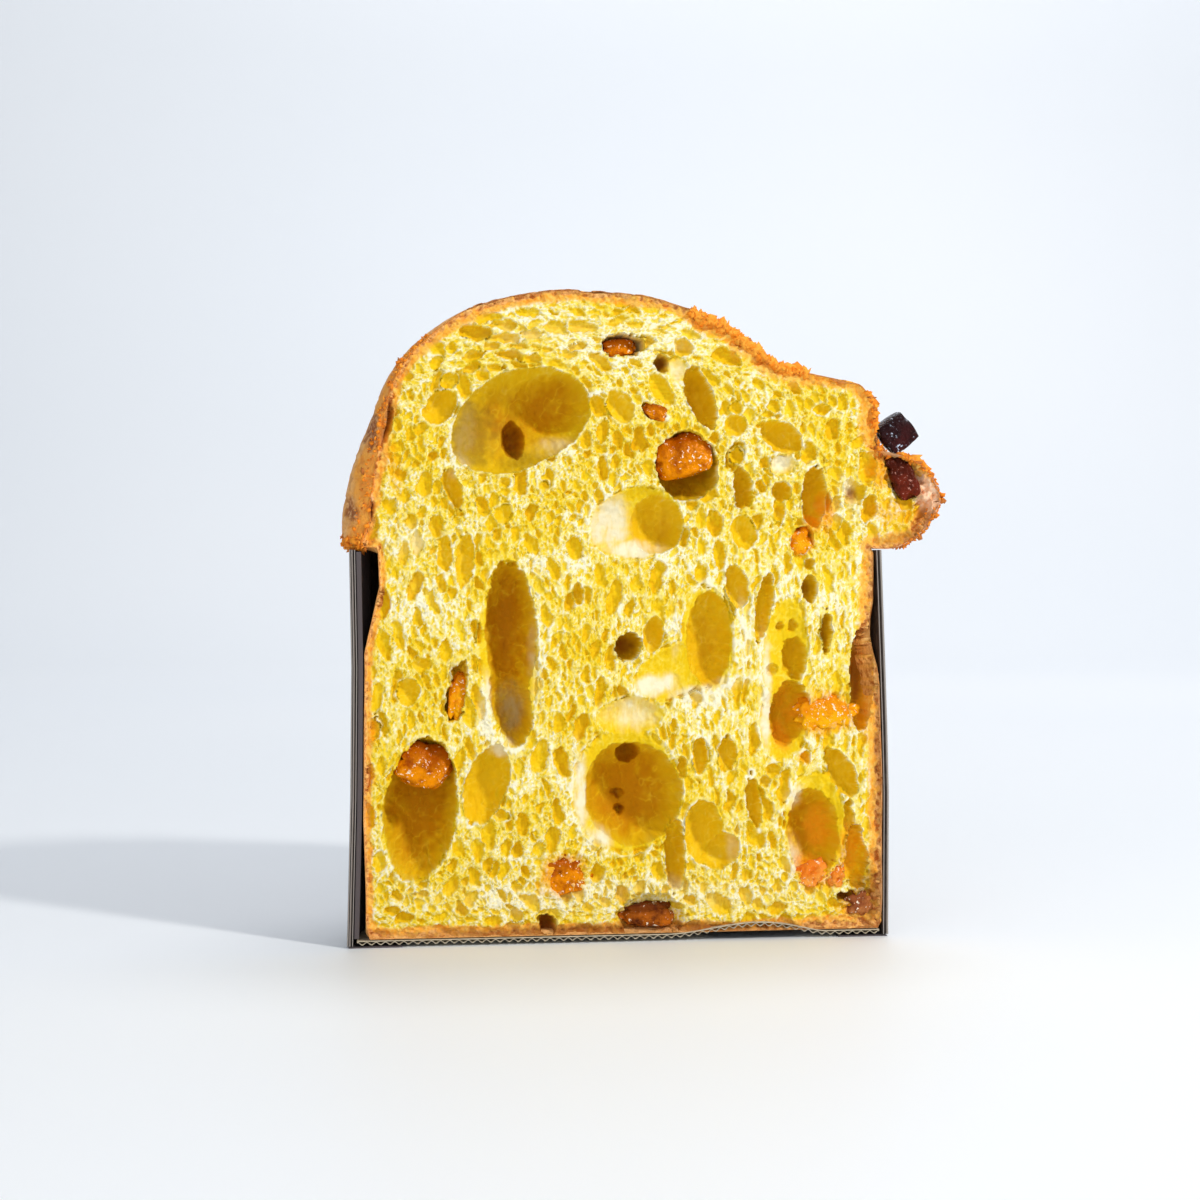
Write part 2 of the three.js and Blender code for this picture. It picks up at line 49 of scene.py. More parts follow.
AXIS_X = (WALL_LO[0] + WALL_HI[0]) / 2
CUT_Y = WALL_LO[1]
MM = 0.001

# The paper case and the board under the loaf.
CASE_RADIUS = 84.5
CASE_HEIGHT = 121.0
WALL_THICKNESS = 1.9
FLANGE_WIDTH = 17.0
FLANGE_THICKNESS = 0.5
OVERLAP_THICKNESS = 1.5
OVERLAP_ANGLE = 0.3
FLUTE_PITCH = 2.8
CASE_FLUTES = 2 * np.pi * CASE_RADIUS / FLUTE_PITCH
CASE_COLUMNS = 576
BOARD_THICKNESS = 1.5
BOARD_LIFT = 3.1
GAP = 0.3
BREAD_GAP = 0.4
BREAD_FLOOR = FLANGE_THICKNESS + GAP + BOARD_THICKNESS + GAP

# Case wall: outer radius by height, at the left cut and at the right cut.
WALL_LEFT = ((0, 84.5), (45, 83.4), (85, 83.0), (CASE_HEIGHT, 83.6))
WALL_RIGHT = ((0, 84.5), (50, 84.6), (90, 83.2), (CASE_HEIGHT, 82.0))

# How far the loaf has shrunk from the paper, by height.
SHRINK_LEFT = ((0, 1.6), (14, 1.4), (40, 0), (90, 0), (100, 2.6), (110, 5.0), (CASE_HEIGHT, 4.6))
SHRINK_RIGHT = ((0, 0), (82, 0), (88, 1.4), (96, 3.0), (106, 1.0), (CASE_HEIGHT, 0.6))

# The crown's silhouette on each side of the axis: distance from the axis, height.
AXIS_TOP = 199.7
CROWN_LEFT = (
    (80.5, 121.6), (85, 122.5), (86, 130), (84, 141), (81.2, 151), (75.5, 166), (70, 177), (61.5, 186),
    (50, 194), (36, 198.8), (18, 201.2), (9, 199.9), (0, AXIS_TOP),
)
CROWN_RIGHT = (
    (79.5, 121.6), (86, 121.4), (92, 123.4), (97.6, 127.2), (101.4, 131.6), (102.4, 136.2), (101.4, 141),
    (98.6, 145.6), (94.4, 149), (88.4, 151), (83.6, 152.8), (81.6, 157.4), (81, 162.4), (79.8, 167.4),
    (77.4, 171.2), (74.4, 173.4), (60, 176.2), (48, 179.4), (38, 187.5), (24, 194.5), (11, 198.3),
    (0, AXIS_TOP),
)

# How far the crust rounds in at the cut, by height, and how far behind the cut that ends.
ROUNDING_LEFT = ((121, 5), (130, 8), (150, 6.5), (168, 4), (185, 2), (202, 0.8))
ROUNDING_RIGHT = ((121, 1), (128, 2.4), (136, 2.0), (150, 2.0), (165, 1.4), (176, 1), (202, 0.8))
ROUNDING_DEPTH = 11.0

# The crumb's relief: distance between its points, and the back of the solids that carry it.
STEP = 0.312
SLAB_BACK = 30.0
BANDS = 4
# How far inside the outline the back of those solids ends, since the loaf rounds away behind the cut.
BACK_INSET = 8.0
# How far inside the outline their sides run behind the rim, and the same for the crust's recess round them.
RIM_INSET = 2.0
RECESS_INSET = 1.1
# Below this height the back comes in no further than that, but is narrower.
FOOT_HEIGHT = 5.0
FOOT_SQUEEZE = 0.9


# Small tools

def place(x, y, z):
    """Millimetres at the cut face to metres in the frame."""
    return np.stack([AXIS_X + np.asarray(x) * MM, CUT_Y + np.asarray(y) * MM, np.asarray(z) * MM], axis=-1)


def along(pairs, t):
    """The value at t of (key, value) pairs, in straight lines between them."""
    keys, values = zip(*pairs)
    return np.interp(t, keys, values)


def ramp(value, low, high):
    """0 below low, 1 above high, smooth between."""
    t = np.clip((value - low) / (high - low), 0, 1)
    return t * t * (3 - 2 * t)


def lattice(ix, iy, iz, seed):
    """A random number from -1 to 1 for each point of a whole-number lattice."""
    mixed = (ix * 73856093) ^ (iy * 19349663) ^ (iz * 83492791) ^ (seed * 50331653)
    mixed = ((mixed ^ (mixed >> 13)) & 0xFFFFFFFF) * 1274126177 & 0xFFFFFFFF
    return ((mixed ^ (mixed >> 16)) & 0xFFFF) / 32767.5 - 1.0


def noise(x, y, z, seed):
    """Smooth noise from -1 to 1, one unit between its lattice points."""
    corners = []
    for value in (x, y, z):
        whole = np.floor(value).astype(np.int64)
        part = value - whole
        corners.append((whole, part * part * (3 - 2 * part)))
    total = 0.0
    for dx in (0, 1):
        for dy in (0, 1):
            for dz in (0, 1):
                weight = 1.0
                for (_, part), step in zip(corners, (dx, dy, dz)):
                    weight = weight * (part if step else 1 - part)
                spot = [whole + step for (whole, _), step in zip(corners, (dx, dy, dz))]
                total = total + weight * lattice(*spot, seed)
    return total


def flat_noise(u, v, seed):
    """Smooth noise on a plane."""
    iu, iv = np.floor(u).astype(np.int64), np.floor(v).astype(np.int64)
    pu, pv = u - iu, v - iv
    pu, pv = pu * pu * (3 - 2 * pu), pv * pv * (3 - 2 * pv)
    low = lattice(iu, iv, 0, seed) * (1 - pu) + lattice(iu + 1, iv, 0, seed) * pu
    high = lattice(iu, iv + 1, 0, seed) * (1 - pu) + lattice(iu + 1, iv + 1, 0, seed) * pu
    return low * (1 - pv) + high * pv


def rough(u, v, size, seed, layers=3):
    """Layered noise on a plane: size is that of its largest lumps."""
    total = 0.0
    for k in range(layers):
        total = total + flat_noise(u / size * 2**k, v / size * 2**k, seed + k) / 2**k
    return total / (2 - 2 ** (1 - layers))


def rough_solid(x, y, z, size, seed, layers=3):
    """Layered noise in space."""
    total = 0.0
    for k in range(layers):
        total = total + noise(x / size * 2**k, y / size * 2**k, z / size * 2**k, seed + k) / 2**k
    return total / (2 - 2 ** (1 - layers))


def make_mesh(name, points, quads=(), triangles=(), polygons=(), values=None, smooth=True, normals=None):
    """A mesh piece from points in metres. values holds named numbers for each point, for its material.

    normals, where given, are the shading normals of the points; a zero one is worked out by Blender.
    """
    quads = np.asarray(quads, dtype=np.int32).reshape(-1, 4)
    triangles = np.asarray(triangles, dtype=np.int32).reshape(-1, 3)
    loops = [quads.ravel(), triangles.ravel()] + [np.asarray(p, dtype=np.int32) for p in polygons]
    sizes = [np.full(len(quads), 4), np.full(len(triangles), 3)]
    sizes.append(np.array([len(p) for p in polygons], dtype=int))
    loops, sizes = np.concatenate(loops), np.concatenate(sizes).astype(np.int32)
    mesh = bpy.data.meshes.new(name)
    mesh.vertices.add(len(points))
    mesh.vertices.foreach_set("co", np.asarray(points, dtype=np.float32).ravel())
    mesh.loops.add(len(loops))
    mesh.loops.foreach_set("vertex_index", loops)
    mesh.polygons.add(len(sizes))
    mesh.polygons.foreach_set("loop_start", np.concatenate([[0], np.cumsum(sizes)[:-1]]).astype(np.int32))
    mesh.polygons.foreach_set("use_smooth", np.full(len(sizes), smooth))
    mesh.update(calc_edges=True)
    mesh.validate()
    for key, numbers in (values or {}).items():
        attribute = mesh.attributes.new(key, "FLOAT", "POINT")
        attribute.data.foreach_set("value", np.asarray(numbers, dtype=np.float32))
    if normals is not None:
        mesh.normals_split_custom_set_from_vertices(normals)
    piece = bpy.data.objects.new(name, mesh)
    bpy.context.scene.collection.objects.link(piece)
    return piece


def ring_walls(*rings):
    """Quads that join each closed ring of points to the next, which has as many."""
    return np.concatenate([
        np.stack([np.roll(a, -1), a, b, np.roll(b, -1)], axis=1) for a, b in zip(rings[:-1], rings[1:])
    ])


def grid_quads(rows, columns, wrap=False):
    """Quads between the points of a grid, counted row by row."""
    r = np.arange(rows - 1)[:, None]
    c = np.arange(columns if wrap else columns - 1)[None, :]
    after = (c + 1) % columns
    low, high = r * columns, (r + 1) * columns
    quads = np.stack([low + c, low + after, high + after, high + c], axis=-1)
    return quads.reshape(-1, 4)


# The loaf's outer form

def smooth_curve(points, count):
    """A centripetal Catmull-Rom curve through the points, as evenly spaced points."""
    p = np.asarray(points, dtype=float)
    p = np.vstack([2 * p[0] - p[1], p, 2 * p[-1] - p[-2]])
    found = []
    for a, b, c, d in zip(p[:-3], p[1:-2], p[2:-1], p[3:]):
        sides = ((a, b), (b, c), (c, d))
        knots = np.cumsum([0] + [math.sqrt(math.dist(m, n)) for m, n in sides])
        t = np.linspace(knots[1], knots[2], 24, endpoint=False)[:, None]

        def between(m, n, low, high):
            return (m * (high - t) + n * (t - low)) / (high - low)

        ab, bc, cd = (between(m, n, knots[k], knots[k + 1]) for k, (m, n) in enumerate(sides))
        abc, bcd = between(ab, bc, knots[0], knots[2]), between(bc, cd, knots[1], knots[3])
        found.append(between(abc, bcd, knots[1], knots[2]))
    found = np.vstack(found + [p[-2][None, :]])
    length = np.concatenate([[0], np.cumsum(np.hypot(*np.diff(found, axis=0).T))])
    even = np.linspace(0, length[-1], count)
    return np.interp(even, length, found[:, 0]), np.interp(even, length, found[:, 1])


def wall_outer(angle, z):
    """The case's outer radius. Angle 0 is the right cut and pi the left one."""
    share = (1 - np.cos(angle)) / 2
    return along(WALL_RIGHT, z) * (1 - share) + along(WALL_LEFT, z) * share


def board_lift(x):
    """How far the board has bowed up at x."""
    t = np.clip((x - 14) / 50, 0, 1)
    return BOARD_LIFT * np.sin(np.pi * t**1.25) ** 1.4


def loaf_form(angles, side_rows, crown_rows):
    """The loaf's outer surface: arrays of x, y, z, one row for each height, one column for each angle."""
    side_z = np.linspace(BREAD_FLOOR, CASE_HEIGHT - 1, side_rows)[:, None]
    a = angles[None, :]
    shrink = along(SHRINK_LEFT, side_z) * np.exp(-(((np.pi - a) / 0.55) ** 2))
    shrink = shrink + along(SHRINK_RIGHT, side_z) * np.exp(-((a / 0.55) ** 2))
    ply = (OVERLAP_THICKNESS + GAP) * ramp(a, np.pi - OVERLAP_ANGLE - 0.14, np.pi - OVERLAP_ANGLE - 0.02)
    side_r = wall_outer(a, side_z) - WALL_THICKNESS - BREAD_GAP - ply - shrink
    side_r = side_r - 1.2 * np.clip(1 - (side_z - BREAD_FLOOR) / 2.5, 0, 1) ** 2
    side_z = side_z + 0 * a
    left_r, left_z = (v[:, None] for v in smooth_curve(CROWN_LEFT, crown_rows))
    right_r, right_z = (v[:, None] for v in smooth_curve(CROWN_RIGHT, crown_rows))
    share = (1 - np.cos(a)) / 2
    r = right_r * (1 - share) + left_r * share
    z = right_z * (1 - share) + left_z * share
    most = np.where(a < np.pi / 2, along(ROUNDING_RIGHT, z), along(ROUNDING_LEFT, z))
    drawn = most * np.clip(1 - r * np.sin(a) / ROUNDING_DEPTH, 0, 1) ** 2
    upright = np.clip((z - 150) / 50, 0, 1)
    inner = ramp(r, 4, 30)
    r = np.maximum(r - drawn * (1 - upright) * inner, 0)
    z = z - drawn * upright * inner
    r, z = np.vstack([side_r, r]), np.vstack([side_z, z])
    return r * np.cos(a), r * np.sin(a), z


# Score torn open across the crown, from the cut backwards: its middle, its half width and how far it reaches.
SCORE_X = 39.0
SCORE_HALF = 19.0
SCORE_REACH = 62.0


def torn(x, y, z):
    """How much the skin is torn open at a point of the crown, from 0 to 1: at the score and the left edge."""
    middle = SCORE_X - 0.0045 * y * y + 2.5 * np.sin(y * 0.11)
    width = SCORE_HALF * np.clip(1 - (y / SCORE_REACH) ** 2, 0.02, 1)
    ragged = 0.22 * rough(x, y, 7.0, 51)
    score = ramp(1 - np.abs(x - middle) / width + ragged, 0.0, 0.22) * ramp(z, 160, 172)
    edge = ramp(7.0 - y + 4.0 * rough(z, y, 7.0, 55), 0.0, 2.5) * ramp(-x, 48, 62) * ramp(z, 119, 125)
    return np.maximum(score, 0.8 * edge)


# Dark blisters in the skin beside the cut: distance across and up, and half sizes.
SKIN_BLISTERS = (
    (-76.6, 158.0, 2.4, 7.4), (-82.6, 133.0, 2.2, 5.0), (99.5, 130.5, 3.4, 4.4), (70.5, 176.0, 6.0, 3.0),
)


def skin_blister(x, y, z):
    """How much of a dark blister lies at a point of the skin, from 0 to 1."""
    found = np.zeros(np.broadcast(x, y, z).shape)
    for across, up, half_x, half_z in SKIN_BLISTERS:
        out = np.hypot((x - across) / half_x, (z - up) / half_z) + 0.5 * rough_solid(x, y, z, 2.4, 57, 2)
        found = np.maximum(found, 1 - ramp(out, 0.5, 1.2))
    return found * ramp(-y, -12, -7)


def crust_relief(x, y, z):
    """How far the crust stands out at a point of it, in millimetres."""
    high = ramp(z, 123, 134)
    skin = 0.55 * rough_solid(x, y, z, 13.0, 3) + 0.28 * rough_solid(x, y, z, 4.2, 9)
    skin = skin + 0.14 * rough_solid(x, y, z, 1.5, 17, 2)
    blister = ramp(rough_solid(x + 40, y, z, 6.5, 23, 2), 0.34, 0.62)
    crack = ramp(0.055 - np.abs(rough_solid(x, y, z + 9, 10.0, 31, 3)), 0, 0.055)
    skin = skin + 0.45 * blister - 0.40 * crack - 1.0 * skin_blister(x, y, z)
    open_skin = torn(x, y, z)
    crumbly = 1.5 * rough_solid(x, y, z, 2.6, 41, 3) + 0.5 * rough_solid(x, y, z, 7.0, 45, 2) - 0.9
    crumbly = crumbly * (1 - 0.5 * ramp(-x, 40, 50))
    return (skin * (1 - open_skin) + crumbly * open_skin) * (0.25 + 0.75 * high)


def front_edges(n_side, n_crown):
    """The two halves of the cut face's outline, right and left, each from the foot up to the crown."""
    xs, _, zs = loaf_form(np.array([0.0, np.pi]), n_side, n_crown)
    right = np.stack([xs[:, 0], zs[:, 0]], axis=1)
    left = np.stack([xs[:, 1], zs[:, 1]], axis=1)
    return right, left


# The relief of the cut face

# Bubbles that the cut has opened: centre, half width, half height, lean of the top to the left in degrees,
# greatest depth, form (0.5 is round, more is a dish and less a pot), and how ragged the rim is.
BUBBLES = (
    # The great one, upper left, with a second one behind it.
    (-32, 160.6, 22.4, 15.4, 24, 15, 0.5, 0.03), (-23.4, 165, 13.4, 10.8, 12, 18, 0.45, 0.03),
    (-32.5, 155, 3.9, 6.2, 6, 23, 0.22, 0.05),
    # Flattened ones under the top crust.
    (-56, 164.5, 4.3, 6.2, -38, 6, 0.55, 0.06), (-36, 189.5, 4.2, 1.5, 0, 2.8, 0.55, 0.1),
    (-28, 187, 3.3, 1.3, 0, 2, 0.55, 0.1), (-36, 185.5, 4.5, 1.5, 4, 2.6, 0.55, 0.1),
    (-52, 182.5, 1.7, 1.5, 0, 2.2, 0.55, 0.1), (-40, 183, 2.5, 1.6, 6, 2.6, 0.55, 0.1),
    (-46, 180, 3.5, 1.5, 14, 3, 0.55, 0.1), (-34, 180.5, 4, 1.5, 0, 3.2, 0.55, 0.1),
    (-28, 179.5, 3.5, 1.3, -4, 2.6, 0.55, 0.1), (-46, 176.5, 3.5, 1.5, 18, 3, 0.55, 0.1),
    (-39, 176.5, 2.5, 1, 6, 2, 0.55, 0.1), (-57, 178, 2, 2.5, -30, 2.4, 0.55, 0.1),
    (-53, 172.5, 3, 2.2, 20, 3, 0.55, 0.1), (-52, 139.5, 2.5, 6.5, 18, 5.5, 0.55, 0.08),
    (0, 183.8, 6.7, 3.6, 6, 12, 0.36, 0.16), (-0.5, 165, 3.9, 5.4, 28, 5, 0.6, 0.07),
    (-7.5, 165, 2.5, 3.8, 18, 4, 0.6, 0.08), (12.5, 178.5, 2.3, 2.6, 0, 8, 0.4, 0.12),
    (19, 183.5, 3, 2.8, 0, 4, 0.6, 0.08), (17, 176.5, 3.6, 4.6, 6, 2, 0.75, 0.08),
    (24.5, 168.5, 4.1, 10.2, 20, 11, 0.36, 0.05), (9.8, 163.5, 3.9, 2.5, -22, 5.5, 0.4, 0.08),
    (20, 147, 9.4, 10.8, 14, 17, 0.36, 0.05), (35.5, 159.5, 3.6, 3.4, 0, 4.5, 0.6, 0.06),
    (35.5, 165, 2.2, 2, 0, 2.6, 0.6, 0.08), (36, 150, 2.3, 2.5, 0, 3.6, 0.6, 0.08),
    (50, 156, 7.4, 4.3, -28, 7.5, 0.5, 0.07), (63, 164.5, 2.8, 1.8, 10, 3, 0.6, 0.08),
    (38, 140, 2.9, 6.2, 8, 8.5, 0.36, 0.08), (50, 139, 3, 3.1, 0, 6, 0.4, 0.06),
    (50.5, 147.2, 4.2, 3.2, 0, 3.4, 0.75, 0.16), (49.5, 133, 1.8, 4, 0, 3.6, 0.55, 0.1),
    (60.5, 137, 3.8, 9.6, -3, 10, 0.36, 0.04), (56.8, 124.2, 3.6, 4.4, -20, 7, 0.42, 0.08),
    (73.5, 138.5, 3.2, 3.4, 10, 4, 0.6, 0.22), (77.5, 146.5, 2.7, 5, 0, 4, 0.55, 0.14),
    (90, 136, 3, 2.3, 0, 3.6, 0.55, 0.14),
    # The pale dish in the upper middle and the deep half of it.
    (3.6, 129.6, 14.6, 10.8, 12, 5.4, 0.75, 0.05), (11, 128.8, 8.4, 9, 0, 11.5, 0.42, 0.04),
    (38, 126.5, 3.9, 5.2, 10, 5, 0.6, 0.05), (-36.5, 132, 2.8, 3, 0, 3, 0.6, 0.08),
    (-36, 141.5, 2, 1.6, 0, 2.4, 0.6, 0.08), (-24, 140.5, 1.7, 1.7, 0, 2.4, 0.6, 0.08),
    (-54.5, 120, 2.1, 6.2, 2, 3.6, 0.55, 0.08), (-48.5, 118, 2.7, 8.2, -4, 4.5, 0.55, 0.06),
    (-63, 123, 2, 3.6, 0, 2.4, 0.6, 0.08), (-13.5, 107.5, 1.7, 3, 0, 4.5, 0.5, 0.08),
    # The tall one, left of the middle.
    (-35, 90, 9, 29.5, 3, 3, 0.75, 0.03), (-34.6, 96, 7.4, 22.5, 2, 18, 0.36, 0.06),
    (-34.4, 75, 5.6, 15, 12, 15, 0.36, 0.06), (-51, 77, 3, 10, -10, 9, 0.4, 0.1),
    (-66, 78, 3.6, 4.1, -12, 4, 0.55, 0.08), (-61.5, 86, 3, 2.3, 0, 3, 0.55, 0.1),
    # Lower left, with the candied peel at its top.
    (-62, 41.5, 11.4, 22.6, -8, 4, 0.75, 0.04), (-61.6, 42.4, 10.4, 21, -8, 19, 0.4, 0.05),
    (-42, 49, 6.2, 11.8, -20, 9, 0.5, 0.05), (-37.5, 39.5, 2.5, 2, 0, 3, 0.6, 0.08),
    (-32.5, 9, 2, 2, 0, 3.2, 0.55, 0.1), (-62, 16, 2.2, 0.8, 0, 2.4, 0.5, 0.1),
    (-23, 6, 3, 3.3, 0, 8, 0.36, 0.14), (-76, 67, 1.6, 3, 0, 3, 0.55, 0.12),
    (-77.8, 53, 1.4, 3.6, 0, 3, 0.55, 0.12), (2, 91, 3.8, 4.3, 0, 12, 0.25, 0.1),
    (10, 95, 3.1, 6, -6, 6, 0.5, 0.05),
    # The yellow one right of the middle, with the smooth funnel at its lower left.
    (16.5, 83.5, 14.5, 8.4, 24, 3.6, 0.75, 0.04), (27, 93, 8.6, 17, 2, 3.2, 0.75, 0.05),
    (27.4, 93, 7.2, 15.6, 0, 11.5, 0.4, 0.07), (36, 110, 3.5, 6.6, 14, 6.5, 0.4, 0.07),
    (44.5, 103, 2.5, 10.2, -9, 6.5, 0.4, 0.06), (59, 109, 2.3, 4.6, 4, 8, 0.36, 0.08),
    (64.5, 95.5, 1.6, 6, 0, 7, 0.3, 0.06), (59, 116.5, 1.6, 1.6, 0, 4, 0.5, 0.1),
    (51.5, 90, 7.2, 17, -6, 3.4, 0.75, 0.06), (54.5, 88, 3.6, 6.7, 0, 10, 0.3, 0.08),
    (50, 97, 1.5, 1.7, 0, 5.5, 0.4, 0.1), (54, 97.4, 1.2, 1.6, 0, 5.5, 0.4, 0.1),
    (47.5, 83.5, 1.7, 1.9, 0, 5.5, 0.4, 0.1), (51, 68, 7.6, 13, -4, 3.6, 0.75, 0.06),
    (52.5, 70, 5.7, 10.4, -6, 13, 0.36, 0.08), (75.5, 81, 3.6, 16.5, 0, 10.5, 0.36, 0.06),
    (33, 58, 2.7, 5.6, 0, 5.5, 0.42, 0.08), (24.5, 57, 2.1, 6.2, 0, 5, 0.42, 0.08),
    (18.7, 53.5, 1.5, 3, 0, 4, 0.42, 0.08), (47.5, 52.5, 2.3, 2, 0, 3.2, 0.55, 0.1),
    (45, 49, 1.4, 2, 0, 3.2, 0.55, 0.1), (57.5, 56.5, 1.8, 2, 0, 3.2, 0.55, 0.1),
    # The round one in the lower middle, with the crescent over it and its tail.
    (2.6, 69.5, 10.4, 6, 6, 4, 0.75, 0.05), (1.6, 46.4, 17.2, 19, 6, 4.2, 0.75, 0.03),
    (3.2, 45.6, 14.8, 16.6, 4, 19, 0.4, 0.05), (3.5, 57.5, 3.8, 3.8, 0, 21.5, 0.25, 0.08),
    (1, 44.5, 4, 2.5, 0, 21, 0.25, 0.1), (1.5, 39.3, 2.6, 2, 0, 20.6, 0.25, 0.1),
    (16.6, 27, 3, 12, 0, 9, 0.42, 0.06), (25.6, 33.5, 6, 10.6, 4, 8.5, 0.5, 0.04),
    (30.5, 27.5, 6.6, 5.4, 34, 8, 0.5, 0.05), (41.5, 42.5, 2.4, 8.6, 8, 6, 0.42, 0.07),
    # Lower right, with the pale arch over it.
    (61, 35, 10.4, 17.6, 0, 3.8, 0.75, 0.05), (60.4, 33, 8.4, 13.6, 0, 15, 0.4, 0.08),
    (69.5, 51.5, 3.9, 9, 31, 7.5, 0.4, 0.07), (71.5, 37, 1.6, 5.2, 0, 5, 0.4, 0.1),
    (74, 25, 3.6, 10, 0, 7.5, 0.4, 0.14), (71.5, 12.4, 3.5, 1.8, 0, 7, 0.4, 0.14),
    # Blisters in the side crust.
    (-72.6, 159.5, 2.3, 7.4, -14, 4, 0.55, 0.1), (-78, 133, 2, 4.6, 4, 4, 0.55, 0.1),
)

# Fruit pits at the base and at the crust, opened in the crumb round each piece.
FRUIT_PITS = (
    (-17, 22, 6.4, 5.6, 14, 2.2, 0.75, 0.3), (8.6, 7.8, 10.4, 6.6, 0, 5, 0.42, 0.14),
    (64, 71, 8.4, 5.6, 10, 2, 0.75, 0.3), (61, 20, 4.6, 3.6, 30, 2.4, 0.75, 0.3),
    (68, 19, 3.4, 3.8, 0, 2.4, 0.75, 0.3), (76, 9.5, 5, 5, 20, 3.4, 0.6, 0.26),
    (86.5, 157, 7, 7.4, 20, 7, 0.35, 0.1), (89.2, 143.8, 5.4, 9.8, 23, 4.6, 0.45, 0.22),
    (83, 150, 3, 3.4, 0, 2.6, 0.5, 0.3), (95, 131.5, 2.2, 5, -30, 3, 0.5, 0.2),
)

# Where the crumb is paler, partly its own colour and partly painted light on lit bubble walls; stained by
# fruit; or browned and shaded, partly real browning and partly painted shade in deep holes and shaded bubble
# walls: centre, half width, half height, lean, how much.
PALE = (
    (-48, 157, 5, 10, -10, 0.3), (-50, 147, 5, 5.5, 0, 0.45), (-4, 129, 8, 10, 0, 0.95),
    (4, 121, 10, 3.4, 0, 1), (17, 176.5, 3.6, 4.6, 0, 0.7), (50.5, 148, 4.6, 3.6, 0, 0.85),
    (9.5, 79, 9.5, 3.8, 12, 1), (25, 76, 11, 3.4, 6, 0.9), (16.8, 97, 2.2, 11, 0, 0.6),
    (-13.4, 48, 3.2, 17, 4, 0.9), (-8, 31.5, 6, 4.4, -30, 0.8), (2.6, 70.5, 10, 6.4, 6, 0.5),
    (45.2, 76, 2.6, 20, 0, 0.95), (55, 44, 4, 5.5, 0, 0.85), (55, 25, 5, 7, 0, 0.6),
    (-42, 72, 2.8, 12, 0, 0.95), (-37, 60.5, 4.5, 3.6, 0, 0.8), (-33.5, 72, 4.6, 8.5, 0, 0.45),
    (-67, 124, 11, 8, 0, 0.5), (-62, 108, 9, 9, 0, 0.3), (0, 14, 76, 7, 0, 0.5), (-6, 186, 40, 9, 0, 0.4),
    (70, 134, 8, 6, 0, 0.45), (-20, 152, 9, 4, 0, 0.4), (36, 31, 3, 12, 0, 0.4), (38.5, 95, 2.4, 14, 0, 0.75),
    (34, 79.5, 8, 3, 20, 0.85), (71, 141, 3.6, 5, 0, 0.7), (-27, 116, 5, 3.6, 0, 0.6),
    (-26, 84, 2.4, 22, 0, 0.45),
)
ORANGE = (
    (64.6, 133, 2.6, 8.4, 0, 0.95), (60.5, 129, 3.8, 4.4, 0, 0.95), (57, 123.5, 5, 5, 0, 0.8),
    (64, 70, 12, 8.6, 0, 1), (51, 63, 5, 6, 0, 0.8), (52, 76, 4.6, 7, 0, 0.5),
    (79.5, 158.5, 5.6, 10.5, 10, 1), (83, 146, 7, 8, 0, 0.8), (86, 133, 12, 7, 0, 0.55),
    (-18.5, 20.6, 9.6, 8, 14, 0.95), (61, 20, 9, 7, 0, 0.75), (72, 27, 6, 13, 0, 0.7), (75, 9, 9, 7, 0, 0.8),
    (64.5, 33, 4.6, 9.5, 0, 0.85), (-50.3, 77.5, 2.6, 9, -8, 0.95), (-0.5, 184, 6, 3.2, 6, 0.95),
    (-77, 66, 2.4, 6, 0, 0.8), (-77, 52, 2, 5, 0, 0.7), (20, 149, 7.6, 8.6, 14, 0.7),
    (10, 163.8, 3.4, 2.4, -22, 0.9), (8.6, 7, 11, 6, 0, 0.9), (-78, 118, 3.4, 9, 0, 0.55),
    (57.5, 56, 3, 3, 0, 0.6), (78, 70, 3.6, 14, 0, 0.7), (49, 181, 28, 3.8, -23, 0.85),
    (-72, 152, 3.6, 26, 14, 0.5), (80, 46, 3.2, 40, 0, 0.6),
)
BROWNED_AND_SHADED = (
    (2, 91, 3.4, 4, 0, 0.85), (12.5, 178.5, 2.2, 2.5, 0, 0.9), (-23, 6, 2.8, 3.2, 0, 1.2),
    (76, 82, 3, 13, 0, 1.1), (-72.8, 159.5, 2.6, 7.6, -14, 1.3), (-78.2, 133, 2.4, 5, 4, 1.3),
    (-0.5, 185, 5.6, 2.4, 6, 0.7), (-35, 99, 6, 19, 2, 0.35), (59, 109, 1.8, 4, 4, 0.7),
    (64.5, 95.5, 1.2, 5.4, 0, 0.6), (73, 138.4, 2.4, 2.6, 0, 0.8), (-51, 84, 2, 4, -8, 0.5),
    (86, 150.5, 4, 5, 0, 0.8), (95.5, 131, 1.8, 5, -30, 0.9), (-32.5, 155, 3.4, 5.6, 6, 0.55),
    (71.5, 12.4, 3, 1.8, 0, 1), (40.5, 185, 2, 2, 0, 0.6), (47.5, 181, 3.6, 2, 20, 0.8),
    (-37, 158, 8, 9, 0, 0.34), (-45.5, 156, 9, 12, -10, 0.3), (88.5, 146.5, 5.6, 9.5, 23, 1),
    (91, 125.4, 13, 3.2, 14, 0.62), (81.5, 60, 2.4, 50, 0, 0.5), (0, 3.6, 82, 2.6, 0, 0.84),
    (79, 14, 4, 12, 0, 0.75),
)

# Walls of bubbles that lie in shade, darkened with painted shade, and skin that turns towards the front,
# lightened with painted light.
SHADED = (
    (-46, 156, 10, 13, -10, 1), (-30, 149, 10, 4, 10, 0.6), (-4, 129, 9, 10, 0, 0.3),
    (-33.5, 72, 5, 10, 0, 0.8),
)
LIT_SKIN = ((96.8, 138.8, 4.4, 9.5, 32, 1.10), (-79.0, 140.0, 2.6, 16.0, 8, 0.60))


